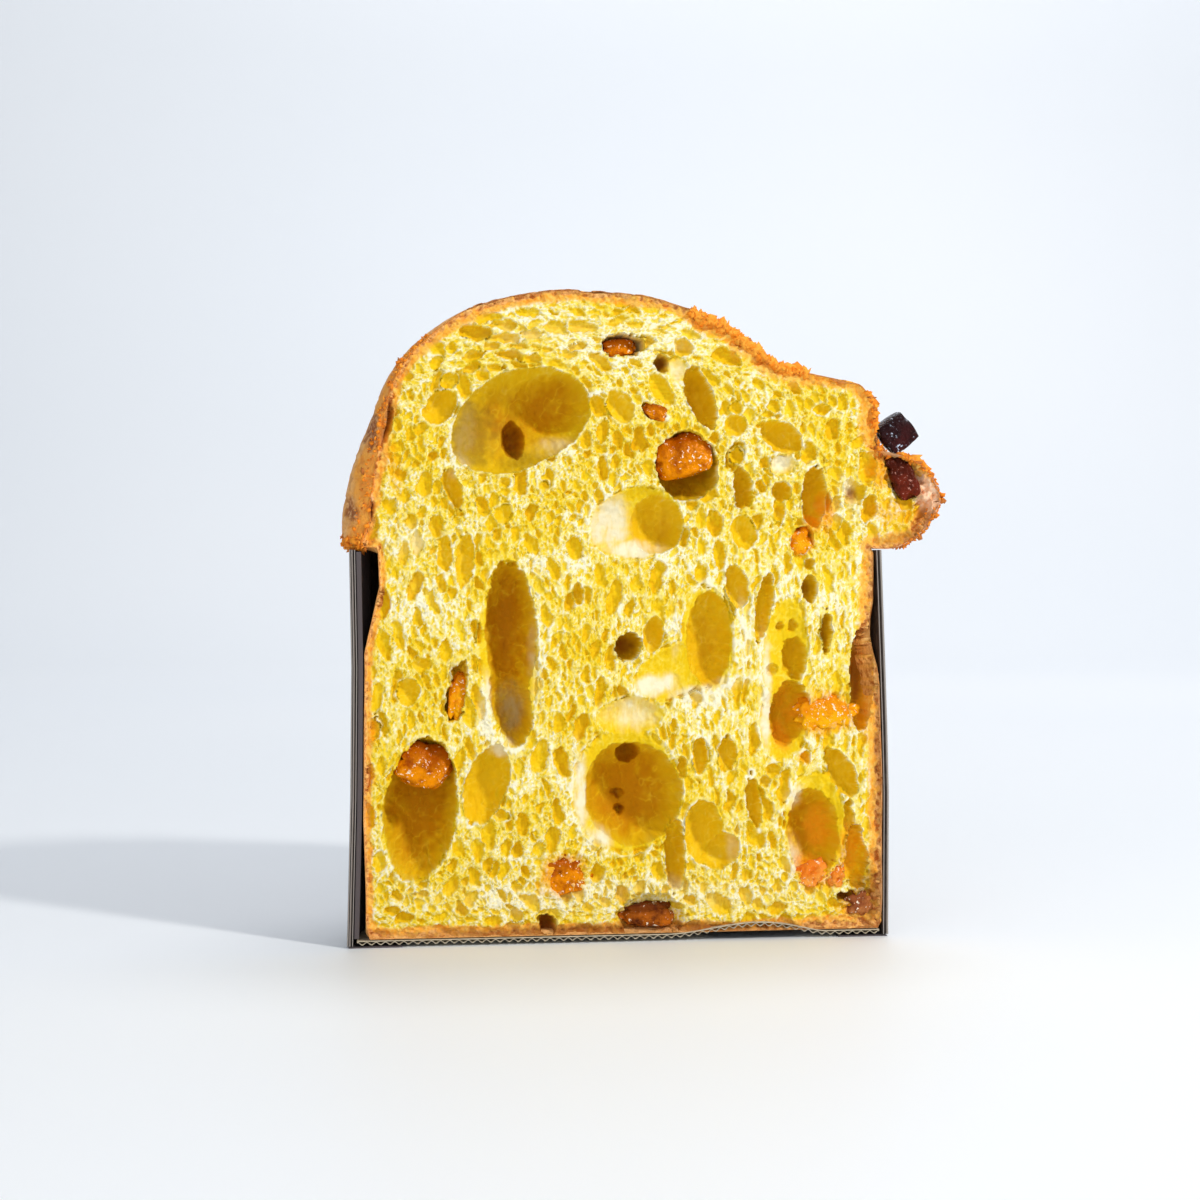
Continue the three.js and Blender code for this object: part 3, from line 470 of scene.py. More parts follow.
class Face:
    """The grid of the cut face and what is worked out at each point of it."""

    def __init__(self, outline):
        lo, hi = outline.min(axis=0), outline.max(axis=0)
        self.columns = int((hi[0] - lo[0]) / STEP) + 3
        self.rows = int((hi[1] - lo[1]) / STEP) + 3
        self.x0, self.z0 = lo[0] - STEP, lo[1] - STEP
        x = self.x0 + STEP * np.arange(self.columns)
        z = self.z0 + STEP * np.arange(self.rows)
        self.x, self.z = np.meshgrid(x, z)
        self.outline = outline
        self.inside = self.fill_outline()
        self.edge, self.near_x, self.near_z = self.edge_distance()

    def window(self, x, z, reach_x, reach_z):
        """The slice of the grid round a point."""
        c0 = max(int((x - reach_x - self.x0) / STEP), 0)
        c1 = min(int((x + reach_x - self.x0) / STEP) + 2, self.columns)
        r0 = max(int((z - reach_z - self.z0) / STEP), 0)
        r1 = min(int((z + reach_z - self.z0) / STEP) + 2, self.rows)
        return slice(r0, r1), slice(c0, c1)

    def fill_outline(self):
        """Which points lie inside the outline."""
        inside = np.zeros(self.x.shape, dtype=bool)
        for (xa, za), (xb, zb) in zip(self.outline, np.roll(self.outline, -1, axis=0)):
            if za == zb:
                continue
            rows = np.nonzero((self.z[:, 0] >= min(za, zb)) & (self.z[:, 0] < max(za, zb)))[0]
            cross = xa + (xb - xa) * (self.z[rows, 0] - za) / (zb - za)
            inside[rows] ^= self.x[rows] < cross[:, None]
        return inside

    def edge_distance(self, reach=14.0):
        """Distance to the outline, up to reach, and the nearest point of it."""
        best = np.full(self.x.shape, reach)
        near_x, near_z = self.x.copy(), self.z.copy()
        for (xa, za), (xb, zb) in zip(self.outline, np.roll(self.outline, -1, axis=0)):
            dx, dz = xb - xa, zb - za
            span = dx * dx + dz * dz
            if span == 0:
                continue
            part = self.window((xa + xb) / 2, (za + zb) / 2, abs(dx) / 2 + reach, abs(dz) / 2 + reach)
            x, z = self.x[part], self.z[part]
            t = np.clip(((x - xa) * dx + (z - za) * dz) / span, 0, 1)
            px, pz = xa + t * dx, za + t * dz
            distance = np.hypot(x - px, z - pz)
            closer = distance < best[part]
            best[part] = np.where(closer, distance, best[part])
            near_x[part] = np.where(closer, px, near_x[part])
            near_z[part] = np.where(closer, pz, near_z[part])
        return best, near_x, near_z


def turned(x, z, lean):
    """Coordinates across and along an axis whose top leans to the left."""
    a = math.radians(lean)
    return x * math.cos(a) + z * math.sin(a), -x * math.sin(a) + z * math.cos(a)


def bubble_depth(face, bubbles):
    """Depth of the bubbles below the cut, and the distance outside the nearest rim."""
    depth = np.zeros(face.x.shape)
    outside = np.full(face.x.shape, 9.0)
    for k, (x, z, half_x, half_z, lean, deep, form, ragged) in enumerate(bubbles):
        reach = max(half_x, half_z) * 1.3 + 3
        part = face.window(x, z, reach, reach)
        gx, gz = face.x[part], face.z[part]
        size = min(half_x, half_z)
        wobble = ragged * rough(gx + 37 * k, gz, max(size * 0.8, 1.6), 61, 3)
        wobble = wobble + 0.05 * rough(gx, gz + 37 * k, size * 2.2, 67, 1)
        frayed = (0.25 + 5 * ragged) * rough(gx, gz + 11 * k, 1.5, 69, 2) / size
        across, up = turned(gx - x, gz - z, lean)
        rho = np.hypot(across / half_x, up / half_z) * (1 + 1.6 * wobble) + frayed
        hollow = deep * np.clip(1 - rho**2, 0, 1) ** form
        depth[part] = np.maximum(depth[part], hollow)
        outside[part] = np.minimum(outside[part], np.clip((rho - 1) * size, 0, None))
    return depth, outside


def patches(face, table):
    """How much a point lies in the patches of a table, from 0 to about 1."""
    total = np.zeros(face.x.shape)
    for x, z, half_x, half_z, lean, amount in table:
        part = face.window(x, z, 1.5 * max(half_x, half_z) + 1, 1.5 * max(half_x, half_z) + 1)
        gx, gz = face.x[part], face.z[part]
        across, up = turned(gx - x, gz - z, lean)
        out = np.hypot(across / half_x, up / half_z) + 0.22 * rough(gx, gz, 2.6, 73, 3)
        total[part] = np.maximum(total[part], amount * (1 - ramp(out, 0.25, 1.3)))
    return total


def grain_direction(x, z):
    """How long the cells are drawn out, and the lean of their long side, over the cut face."""
    dome = ramp(z, 160, 186)
    low = ramp(-z, -132, -112) * ramp(z, 24, 48)
    beside = ramp(x, 18, 36) * low
    ear = ramp(x, 62, 80) * ramp(z, 122, 134)
    foot = ramp(-z, -16, -8)
    stretch = 1.5 + 0.8 * dome + 0.9 * low + 1.2 * beside + 0.3 * ear + 0.4 * foot
    lean = 90 * dome + 0.35 * x * dome - 26 * ear + 90 * foot
    lean = lean + (1 - 0.6 * beside) * 16 * rough(x, z, 26.0, 71, 2)
    return stretch, lean


def place_cells(face, rng, sizes):
    """The cells of some sizes, large ones first: rows of x, z, half width, half length, lean, depth."""
    taken = np.ones(face.x.shape, dtype=bool)
    taken[face.inside] = False
    lo = np.array([face.x[0, 0], face.z[0, 0]])
    hi = np.array([face.x[-1, -1], face.z[-1, -1]])
    cells = []
    for radius, tries, apart in sizes:
        spots = rng.uniform(lo, hi, (tries, 2))
        stretches, leans = grain_direction(spots[:, 0], spots[:, 1])
        factors = rng.uniform(0.82, 1.22, tries)
        drawn = rng.uniform(0.8, 1.25, tries)
        depths = rng.uniform(0.5, 1.5, tries)
        turns = rng.normal(0, 12, tries)
        for k, (x, z) in enumerate(spots):
            row, column = int((z - face.z0) / STEP), int((x - face.x0) / STEP)
            if taken[row, column]:
                continue
            size = radius * factors[k] / (1 + 0.25 * max(stretches[k] - 1.6, 0))
            long = size * max(stretches[k] * drawn[k], 1.0)
            lean = leans[k] + turns[k]
            part = face.window(x, z, long * apart, long * apart)
            across, up = turned(face.x[part] - x, face.z[part] - z, lean)
            taken[part] |= np.hypot(across / size, up / long) < apart
            cells.append((x, z, size, long, lean, depths[k]))
    return cells


def cell_maps(face, cells):
    """For each point, its distance from its cell's border and centre, and that cell's size and depth."""
    first = np.full(face.x.shape, 4.0)
    second = np.full(face.x.shape, 4.0)
    size_first = np.ones(face.x.shape)
    size_second = np.ones(face.x.shape)
    depth = np.ones(face.x.shape)
    for x, z, size, long, lean, deep in cells:
        part = face.window(x, z, long * 2.2, long * 2.2)
        across, up = turned(face.x[part] - x, face.z[part] - z, lean)
        d = np.hypot(across / size, up / long)
        old_first, old_size = first[part], size_first[part]
        closer = d < old_first
        between = ~closer & (d < second[part])
        second[part] = np.where(closer, old_first, np.where(between, d, second[part]))
        size_second[part] = np.where(closer, old_size, np.where(between, size, size_second[part]))
        first[part] = np.where(closer, d, old_first)
        size_first[part] = np.where(closer, size, old_size)
        depth[part] = np.where(closer, deep, depth[part])
    border = (second - first) / (1 / size_first + 1 / size_second)
    return border, first, size_first, depth


def fibres(face):
    """Fine streaks of the crumb: upright in the body, lying down under the dome."""
    x = face.x + 0.9 * rough(face.x, face.z, 9.0, 113, 2)
    z = face.z + 0.9 * rough(face.x, face.z, 9.0, 114, 2)
    lying = ramp(face.z, 150, 182)
    upright = rough(x / 0.5, z / 3.2, 1.0, 115, 3)
    level = rough(x / 2.6, z / 0.5, 1.0, 118, 3)
    return upright * (1 - lying) + level * lying


def face_relief(face):
    """The depth of the crumb below the cut, and what the material needs to know at each point."""
    rng = np.random.default_rng(7)
    gx, gz = face.x, face.z
    x = gx + 1.10 * rough(gx, gz, 3.4, 81, 2) + 0.42 * rough(gx, gz, 1.1, 83, 2)
    z = gz + 1.10 * rough(gx, gz, 3.4, 87, 2) + 0.42 * rough(gx, gz, 1.1, 89, 2)
    wide = ((2.6, 70, 1.75), (2.0, 300, 1.6), (1.45, 1100, 1.4), (1.0, 3600, 1.3), (0.7, 9000, 1.2))
    border, out, size, deep = cell_maps_warped(face, place_cells(face, rng, wide), x, z)
    rim = np.minimum(border, (1 - out) * size)
    opened = ramp(rim, 0.0, 0.34)
    bowl = np.sqrt(np.clip(1 - out**2, 0, 1))
    medium = size * (0.35 + 0.65 * deep) * (0.30 * opened + 0.80 * bowl * opened)
    narrow = ((0.52, 26000, 1.05), (0.38, 34000, 1.0))
    border, _, size_small, deep_small = cell_maps_warped(face, place_cells(face, rng, narrow), x, z)
    net = ramp(border, 0.02, 0.08 + 0.5 * size_small)
    small = size_small * (0.35 + 0.75 * deep_small) * net * (1 - opened)
    grain = rough(gx, gz, 0.62, 97, 1)
    streak = fibres(face)
    fluff = ramp(rough(gx, gz, 1.6, 93, 2) + 0.5 * grain, -0.1, 0.8)
    fine = medium + small
    large, outside = bubble_depth(face, BUBBLES)
    pits, _ = bubble_depth(face, FRUIT_PITS)
    crust = crust_share(face)
    beyond = ramp(outside, 0.1, 0.8)
    in_large = ramp(large, 0.3, 1.4)
    fine = fine * (0.16 + 0.84 * np.where(large > 0, 1 - in_large, beyond)) * (1 - 0.6 * crust)
    tops = 0.45 + 0.30 * rough(gx, gz, 2.6, 95, 2) + 0.20 * grain - 0.40 * fluff - 0.20 * streak
    crumbly = crust * 0.9 * (1 + rough(gx, gz, 1.3, 103, 3)) * ramp(face.edge, 0.1, 1.4)
    depth = np.maximum(large, pits) + fine + np.maximum(tops, 0) * (1 - 0.75 * in_large) + crumbly
    depth = np.clip(depth, 0.0, SLAB_BACK - 2)
    pale = patches(face, PALE)
    patch = rough(gx, gz, 13.0, 121, 3) + 0.5 * rough(gx, gz, 4.0, 124, 2)
    # Lighter on cell walls, rims and bubble lips, darker in the middle of cells and in deeper cells: the
    # darkening is painted shade, the paleness partly the crumb's own colour and partly painted light.
    wall_line = np.exp(-((rim / 0.22) ** 2))
    net_line = np.exp(-((border / 0.17) ** 2))
    between = 0.38 + 0.42 * net_line + 0.30 * streak + 0.16 * grain + 0.10 * fluff + 0.32 * patch
    within = 0.38 + 0.26 * streak + 0.14 * grain + 0.14 * patch - 0.20 * (deep - 1)
    within = within - 0.22 * bowl * np.clip(size, 0, 2) / 2
    light = between * (1 - opened) + within * opened + 0.40 * pale * (1 - 0.6 * opened)
    light = np.maximum(light, wall_line * (0.74 + 0.30 * patch + 0.34 * streak))
    vein = 1 - ramp(np.abs(rough(gx, gz, 5.0, 127, 3)), 0.0, 0.07)
    lining = 0.30 + 0.14 * rough(gx, gz, 3.0, 131, 3) + 0.20 * vein + 0.12 * streak + 0.10 * grain
    lining = lining + 0.10 * (light - 0.4)
    light = light * (1 - in_large) + lining * in_large
    lip = np.exp(-((outside / 0.9) ** 2)) * (large <= 0) * (0.65 + 0.9 * rough(gx, gz, 2.4, 105, 3))
    light = np.maximum(light, np.clip(lip, 0, 1) * 0.95 + 0.1)
    # Painted shade: the deeper the bubble or fruit pit, the darker the crumb's colour.
    shade = np.maximum(large, pits * 0.6)
    mottled = rough(gx * 1.6, gz * 0.7, 4.0, 109, 3) + 0.6 * rough(gx, gz, 1.8, 111, 2)
    return depth, {
        "light": np.clip(light, 0, 1),
        "deep": np.clip(shade * (1 + 0.28 * mottled - 0.25 * vein), 0, 28),
        "crust": crust,
        "pale": pale * (0.95 + 0.60 * mottled + 0.25 * streak) * (0.45 + 0.55 * in_large),
        "orange": patches(face, ORANGE) * (1 - 0.25 * ramp(grain, 0, 0.8)),
        "browned_and_shaded": patches(face, BROWNED_AND_SHADED) * (1 + 0.2 * mottled),
        "shaded": patches(face, SHADED) * in_large * (1 + 0.35 * mottled),
        "lit_skin": patches(face, LIT_SKIN) * (1 + 0.3 * grain),
    }


def cell_maps_warped(face, cells, x, z):
    """The cell maps read at shifted places, so that their borders aren't straight."""
    maps = cell_maps(face, cells)
    column = np.clip(np.round((x - face.x0) / STEP).astype(int), 0, face.columns - 1)
    row = np.clip(np.round((z - face.z0) / STEP).astype(int), 0, face.rows - 1)
    return [values[row, column] for values in maps]


def crust_share(face):
    """How far the crust's brown reaches into the cut face: 1 at its edge, 0 in the crumb."""
    x, z = face.x, face.z
    thick = 1.9 + 0.9 * ramp(z, 118, 132) + 1.5 * ramp(x, 66, 88) * ramp(z, 118, 130) + 1.7 * ramp(-z, -9, -4)
    thick = thick + 1.9 * ramp(x, 18, 26) * ramp(-x, -64, -56) * ramp(z, 165, 172)
    thick = thick * (1 + 0.45 * rough(x, z, 5.0, 107, 3))
    thick = thick + 1.3 * ramp(x, 56, 72) * ramp(-z, -120, -110)
    share = (1 - ramp(face.edge, 0.1 * thick, 1.7 * thick)) * (1 + 0.3 * rough(x, z, 1.2, 108, 2))
    return np.clip(share, 0, 1) * (1 - 0.36 * ramp(x, 18, 26) * ramp(z, 138, 146))


def slab(name, face, depth, normals, values, rows):
    """One solid of the crumb between two rows of the grid: relief in front, flat at the back."""
    inside = face.inside[rows]
    keep = inside[:-1, :-1] & inside[1:, :-1] & inside[:-1, 1:] & inside[1:, 1:]
    keep = drop_pinches(keep)
    width = face.columns
    r, c = np.nonzero(keep)
    corner = r * width + c
    quads = np.stack([corner, corner + 1, corner + width + 1, corner + width], axis=1)
    used, renumbered = np.unique(quads, return_inverse=True)
    quads = renumbered.reshape(-1, 4)
    x, z = face.x[rows].ravel()[used].copy(), face.z[rows].ravel()[used].copy()
    y = depth[rows].ravel()[used]
    edge = face.edge[rows].ravel()[used]
    near_x, near_z = face.near_x[rows].ravel()[used], face.near_z[rows].ravel()[used]
    loop = boundary_loop(quads)
    on_edge = loop[edge[loop] < 1.6 * STEP]
    inward = np.stack([x - near_x, z - near_z], axis=1)
    inward = inward / np.maximum(np.linalg.norm(inward, axis=1), 1e-6)[:, None]
    x[on_edge], z[on_edge] = near_x[on_edge], near_z[on_edge]
    edge[on_edge] = 0
    shift = np.maximum(RIM_INSET - edge[loop], 0)[:, None] * inward[loop]
    back_inset = np.where(z[loop] < FOOT_HEIGHT, RIM_INSET, BACK_INSET)
    back_shift = np.maximum(back_inset - edge[loop], 0)[:, None] * inward[loop]
    back_x = (x[loop] + back_shift[:, 0]) * np.where(z[loop] < FOOT_HEIGHT, FOOT_SQUEEZE, 1)
    start = len(used)
    count = len(loop)
    middle = np.arange(start, start + count)
    back = middle + count
    points = np.vstack([
        place(x, y, z),
        place(x[loop] + shift[:, 0], y[loop] + RIM_INSET, z[loop] + shift[:, 1]),
        place(back_x, np.full(count, SLAB_BACK), z[loop] + back_shift[:, 1]),
    ])
    quads = np.vstack([quads, ring_walls(loop, middle, back)])
    numbers = {}
    for key, value in values.items():
        own = value[rows].ravel()[used]
        numbers[key] = np.concatenate([own, own[loop], own[loop]])
    shading = np.zeros((len(points), 3))
    shading[:start] = normals[rows].reshape(-1, 3)[used]
    shading[on_edge] = 0
    return make_mesh(name, points, quads, polygons=[back[::-1]], values=numbers, normals=shading)


def drop_pinches(keep):
    """Drops squares that touch the rest only at a corner."""
    padded = np.pad(keep, 1)
    for _ in range(4):
        a, b = padded[:-1, :-1], padded[:-1, 1:]
        c, d = padded[1:, :-1], padded[1:, 1:]
        slant = (a & d & ~b & ~c) | (b & c & ~a & ~d)
        if not slant.any():
            break
        r, column = np.nonzero(slant)
        padded[r, column] = padded[r, column + 1] = False
    return padded[1:-1, 1:-1]


def boundary_loop(quads):
    """The longest closed loop of edges that only one quad has, in order."""
    edges = np.concatenate([quads[:, [0, 1]], quads[:, [1, 2]], quads[:, [2, 3]], quads[:, [3, 0]]])
    size = edges.max() + 1
    key = edges[:, 0].astype(np.int64) * size + edges[:, 1]
    reverse = edges[:, 1].astype(np.int64) * size + edges[:, 0]
    single = edges[~np.isin(key, reverse)]
    following = dict(map(tuple, single))
    best = []
    while following:
        start, point = following.popitem()
        loop = [start]
        while point != start:
            loop.append(point)
            point = following.pop(point)
        if len(loop) > len(best):
            best = loop
    return np.array(best)


# Materials

class Look:
    """A material while its nodes are being joined."""

    def __init__(self, name, roughness, gloss=0.5):
        self.made = bpy.data.materials.new(name)
        self.made.use_nodes = True
        self.nodes, self.links = self.made.node_tree.nodes, self.made.node_tree.links
        self.shader = self.nodes["Principled BSDF"]
        self.shader.inputs["Roughness"].default_value = roughness
        self.shader.inputs["Specular IOR Level"].default_value = gloss

    def mixed(self, factor, low, high):
        """A colour mixed from two others, each a colour or a socket."""
        mix = self.nodes.new("ShaderNodeMix")
        mix.data_type = "RGBA"
        for socket, value in ((mix.inputs["Factor"], factor), (mix.inputs[6], low), (mix.inputs[7], high)):
            if isinstance(value, (tuple, float, int)):
                socket.default_value = (*value, 1) if isinstance(value, tuple) else value
            else:
                self.links.new(value, socket)
        return mix.outputs[2]

    def scaled(self, value, low, high, most=1.0):
        """A socket's value carried from the range low to high to that from 0 to most, smooth at the ends."""
        node = self.nodes.new("ShaderNodeMapRange")
        node.interpolation_type = "SMOOTHSTEP"
        node.inputs["From Min"].default_value = low
        node.inputs["From Max"].default_value = high
        node.inputs["To Min"].default_value = 0.0
        node.inputs["To Max"].default_value = most
        self.links.new(value, node.inputs["Value"])
        return node.outputs["Result"]

    def noise(self, scale, detail):
        """Noise in the object's own space."""
        coordinates = self.nodes.new("ShaderNodeTexCoord")
        node = self.nodes.new("ShaderNodeTexNoise")
        node.inputs["Scale"].default_value = scale
        node.inputs["Detail"].default_value = detail
        node.inputs["Roughness"].default_value = 0.6
        self.links.new(coordinates.outputs["Object"], node.inputs["Vector"])
        return node.outputs["Fac"]

    def specks(self, scale, detail, low, high):
        """Noise carried from the range low to high to that from 0 to 1."""
        return self.scaled(self.noise(scale, detail), low, high)

    def value(self, name):
        """The numbers that the mesh holds under a name."""
        node = self.nodes.new("ShaderNodeAttribute")
        node.attribute_name = name
        return node.outputs["Fac"]

    def share(self, name, low, high, most=1.0):
        """The mesh's numbers under a name, carried from the range low to high to that from 0 to most."""
        return self.scaled(self.value(name), low, high, most)

    def finished(self, colour, bump=None):
        """The material with its colour and a bump: the noise's scale and detail, its height and strength."""
        self.links.new(colour, self.shader.inputs["Base Color"])
        if bump:
            scale, detail, height, strength = bump
            node = self.nodes.new("ShaderNodeBump")
            node.inputs["Distance"].default_value = height
            node.inputs["Strength"].default_value = strength
            self.links.new(self.noise(scale, detail), node.inputs["Height"])
            self.links.new(node.outputs["Normal"], self.shader.inputs["Normal"])
        return self.made


# The crumb from the bottoms of its cells to the tops of its walls. The darker tones in the cells are painted
# shade; the pale tones on the walls are partly the crumb's own colour and partly painted light.
CRUMB_TONES = (
    (0.0, (0.76, 0.43, 0.004)),
    (0.28, (0.86, 0.57, 0.007)),
    (0.50, (0.89, 0.65, 0.045)),
    (0.74, (0.93, 0.76, 0.22)),
    (1.0, (0.97, 0.90, 0.64)),
)
GOLD = (0.80, 0.51, 0.006)
AMBER = (0.57, 0.245, 0.001)
UMBER = (0.34, 0.11, 0.003)
OLIVE_SHADE = (0.30, 0.19, 0.012)
CREAM = (0.91, 0.83, 0.58)
ORANGE_JUICE = (0.93, 0.38, 0.010)
RUSSET = (0.30, 0.085, 0.006)
CRUST_ORANGE = (0.95, 0.41, 0.04)
CRUST_LIGHT = (0.98, 0.55, 0.18)
CRUST_BROWN = (0.50, 0.17, 0.04)
CRUST_DARK = (0.13, 0.035, 0.014)
SALMON = (0.98, 0.60, 0.34)
FINE_BUMP = (2200, 2, 0.00012, 0.7)


def crumb_material():
    """Crumb: cream on the cell walls, yellow in the cells, amber in the deep bubbles as painted shade, brown
    at the crust.
    """
    look = Look("crumb", 0.7, 0.08)
    light = look.value("light")
    colour = CRUMB_TONES[0][1]
    for (low, _), (high, tone) in zip(CRUMB_TONES[:-1], CRUMB_TONES[1:]):
        colour = look.mixed(look.scaled(light, low, high), colour, tone)
    # Painted shade: gold, amber and umber with the depth of the bubbles and pits.
    deep = look.value("deep")
    colour = look.mixed(look.scaled(deep, 1.5, 8, 0.75), colour, GOLD)
    colour = look.mixed(look.scaled(deep, 6, 19), colour, AMBER)
    colour = look.mixed(look.scaled(deep, 20, 26), colour, UMBER)
    # Paler patches: partly the crumb's own colour, partly painted light on the lit walls of bubbles.
    colour = look.mixed(look.share("pale", 0, 1), colour, CREAM)
    colour = look.mixed(look.share("orange", 0.1, 0.95, 0.85), colour, ORANGE_JUICE)
    spots = look.specks(520, 3, 0.38, 0.64)
    warm = look.share("crust", 0.05, 0.5)
    colour = look.mixed(warm, colour, look.mixed(spots, CRUST_ORANGE, (0.96, 0.56, 0.11)))
    crust = look.share("crust", 0.72, 1)
    colour = look.mixed(crust, colour, look.mixed(spots, CRUST_LIGHT, CRUST_BROWN))
    # Painted light: paler salmon where the skin turns towards the front.
    lit_skin = look.share("lit_skin", 0.1, 0.9)
    colour = look.mixed(lit_skin, colour, look.mixed(spots, (1.0, 0.72, 0.50), (0.92, 0.48, 0.24)))
    # Russet: real browning at the crust and blisters, and painted shade in deep holes and shaded bubble
    # walls.
    colour = look.mixed(look.share("browned_and_shaded", 0, 1.1, 0.92), colour, RUSSET)
    colour = look.mixed(look.share("shaded", 0, 1, 0.62), colour, OLIVE_SHADE)
    return look.finished(colour, FINE_BUMP)


def crust_material():
    """Baked skin: orange brown and porous, with darker patches and blisters, paler salmon as painted light
    where it turns towards the front, orange where it's torn.
    """
    look = Look("crust", 0.62, 0.22)
    small = look.specks(420, 3, 0.42, 0.70)
    colour = look.mixed(look.specks(45, 4, 0.40, 0.68), CRUST_LIGHT, (0.86, 0.39, 0.10))
    # Painted light: paler salmon where the skin turns towards the front.
    colour = look.mixed(look.share("lit_skin", 0, 1), colour, SALMON)
    colour = look.mixed(look.share("baked", 0, 1), colour, (0.34, 0.095, 0.020))
    for most, where, tone in (
        (0.7, look.specks(620, 3, 0.46, 0.66), (1.0, 0.58, 0.25)),
        (0.5, small, CRUST_BROWN),
        (0.6, look.specks(800, 2, 0.60, 0.76), CRUST_DARK),
    ):
        colour = look.mixed(most, colour, look.mixed(where, colour, tone))
    # More painted light on the same skin.
    colour = look.mixed(look.share("lit_skin", 0.1, 1, 0.6), colour, (1.0, 0.68, 0.44))
    colour = look.mixed(look.value("torn"), colour, look.mixed(small, (1.0, 0.39, 0.03), (0.88, 0.25, 0.012)))
    return look.finished(colour, (520, 5, 0.0010, 1))


def loose_material():
    """Torn and loose crumbs: orange, paler or browner from lump to lump."""
    look = Look("loose_crumb", 0.7, 0.15)
    tint = look.value("tint")
    colour = look.mixed(look.scaled(tint, 0, 0.5), (1.0, 0.40, 0.04), (0.94, 0.27, 0.012))
    colour = look.mixed(look.scaled(tint, 0.45, 1), colour, CRUST_BROWN)
    return look.finished(colour, FINE_BUMP)


def paper_material():
    """Dark greaseproof paper."""
    look = Look("case_paper", 0.42)
    colour = look.mixed(look.specks(240, 5, 0.3, 0.75), (0.056, 0.040, 0.033), (0.135, 0.100, 0.082))
    colour = look.mixed(look.value("edge"), colour, (0.30, 0.26, 0.23))
    return look.finished(colour, (900, 4, 0.00012, 0.6))


def board_material():
    """Grey-brown corrugated board."""
    look = Look("case_board", 0.85)
    colour = look.mixed(look.specks(400, 5, 0.3, 0.75), (0.46, 0.38, 0.26), (0.62, 0.54, 0.40))
    return look.finished(colour, (1100, 4, 0.00012, 0.6))


def candied_material(name, light, dark, roughness, gloss=0.45, bump=(420, 0.0009), glint=(1.0, 0.86, 0.66)):
    """Candied fruit: deep coloured, with painted shade darker towards the top and painted wet glints. bump is
    its scale and height.
    """
    look = Look(name, roughness, gloss)
    look.shader.inputs["Specular Tint"].default_value = (*(min(1, 0.1 + value) for value in light), 1)
    colour = look.mixed(look.specks(260, 4, 0.38, 0.70), light, dark)
    # Painted shade: darker towards the top.
    colour = look.mixed(look.share("up", 0.30, 0.85, 0.85), colour, dark)
    # Painted highlights: small pale spots in clusters stand for wet glints.
    spots = look.specks(900, 2, 0.60, 0.67)
    colour = look.mixed(look.specks(230, 2, 0.40, 0.56), colour, look.mixed(spots, colour, glint))
    return look.finished(colour, (bump[0], 3, bump[1], 1))


# The loaf

def build_crumb():
    """The cut face in bands, each its own solid."""
    right, left = front_edges(60, 150)
    outline = np.vstack([right[:-1], left[::-1]])
    face = Face(outline)
    depth, values = face_relief(face)
    slope_z, slope_x = np.gradient(depth, STEP)
    normals = np.stack([slope_x, -np.ones(depth.shape), slope_z], axis=-1)
    normals /= np.linalg.norm(normals, axis=-1, keepdims=True)
    look = crumb_material()
    cuts = np.linspace(0, face.rows - 1, BANDS + 1).astype(int)
    pieces = []
    for k in range(BANDS):
        piece = slab(f"crumb_{k + 1}", face, depth, normals, values, slice(cuts[k], cuts[k + 1] + 1))
        piece.data.materials.append(look)
        pieces.append(piece)
    return pieces


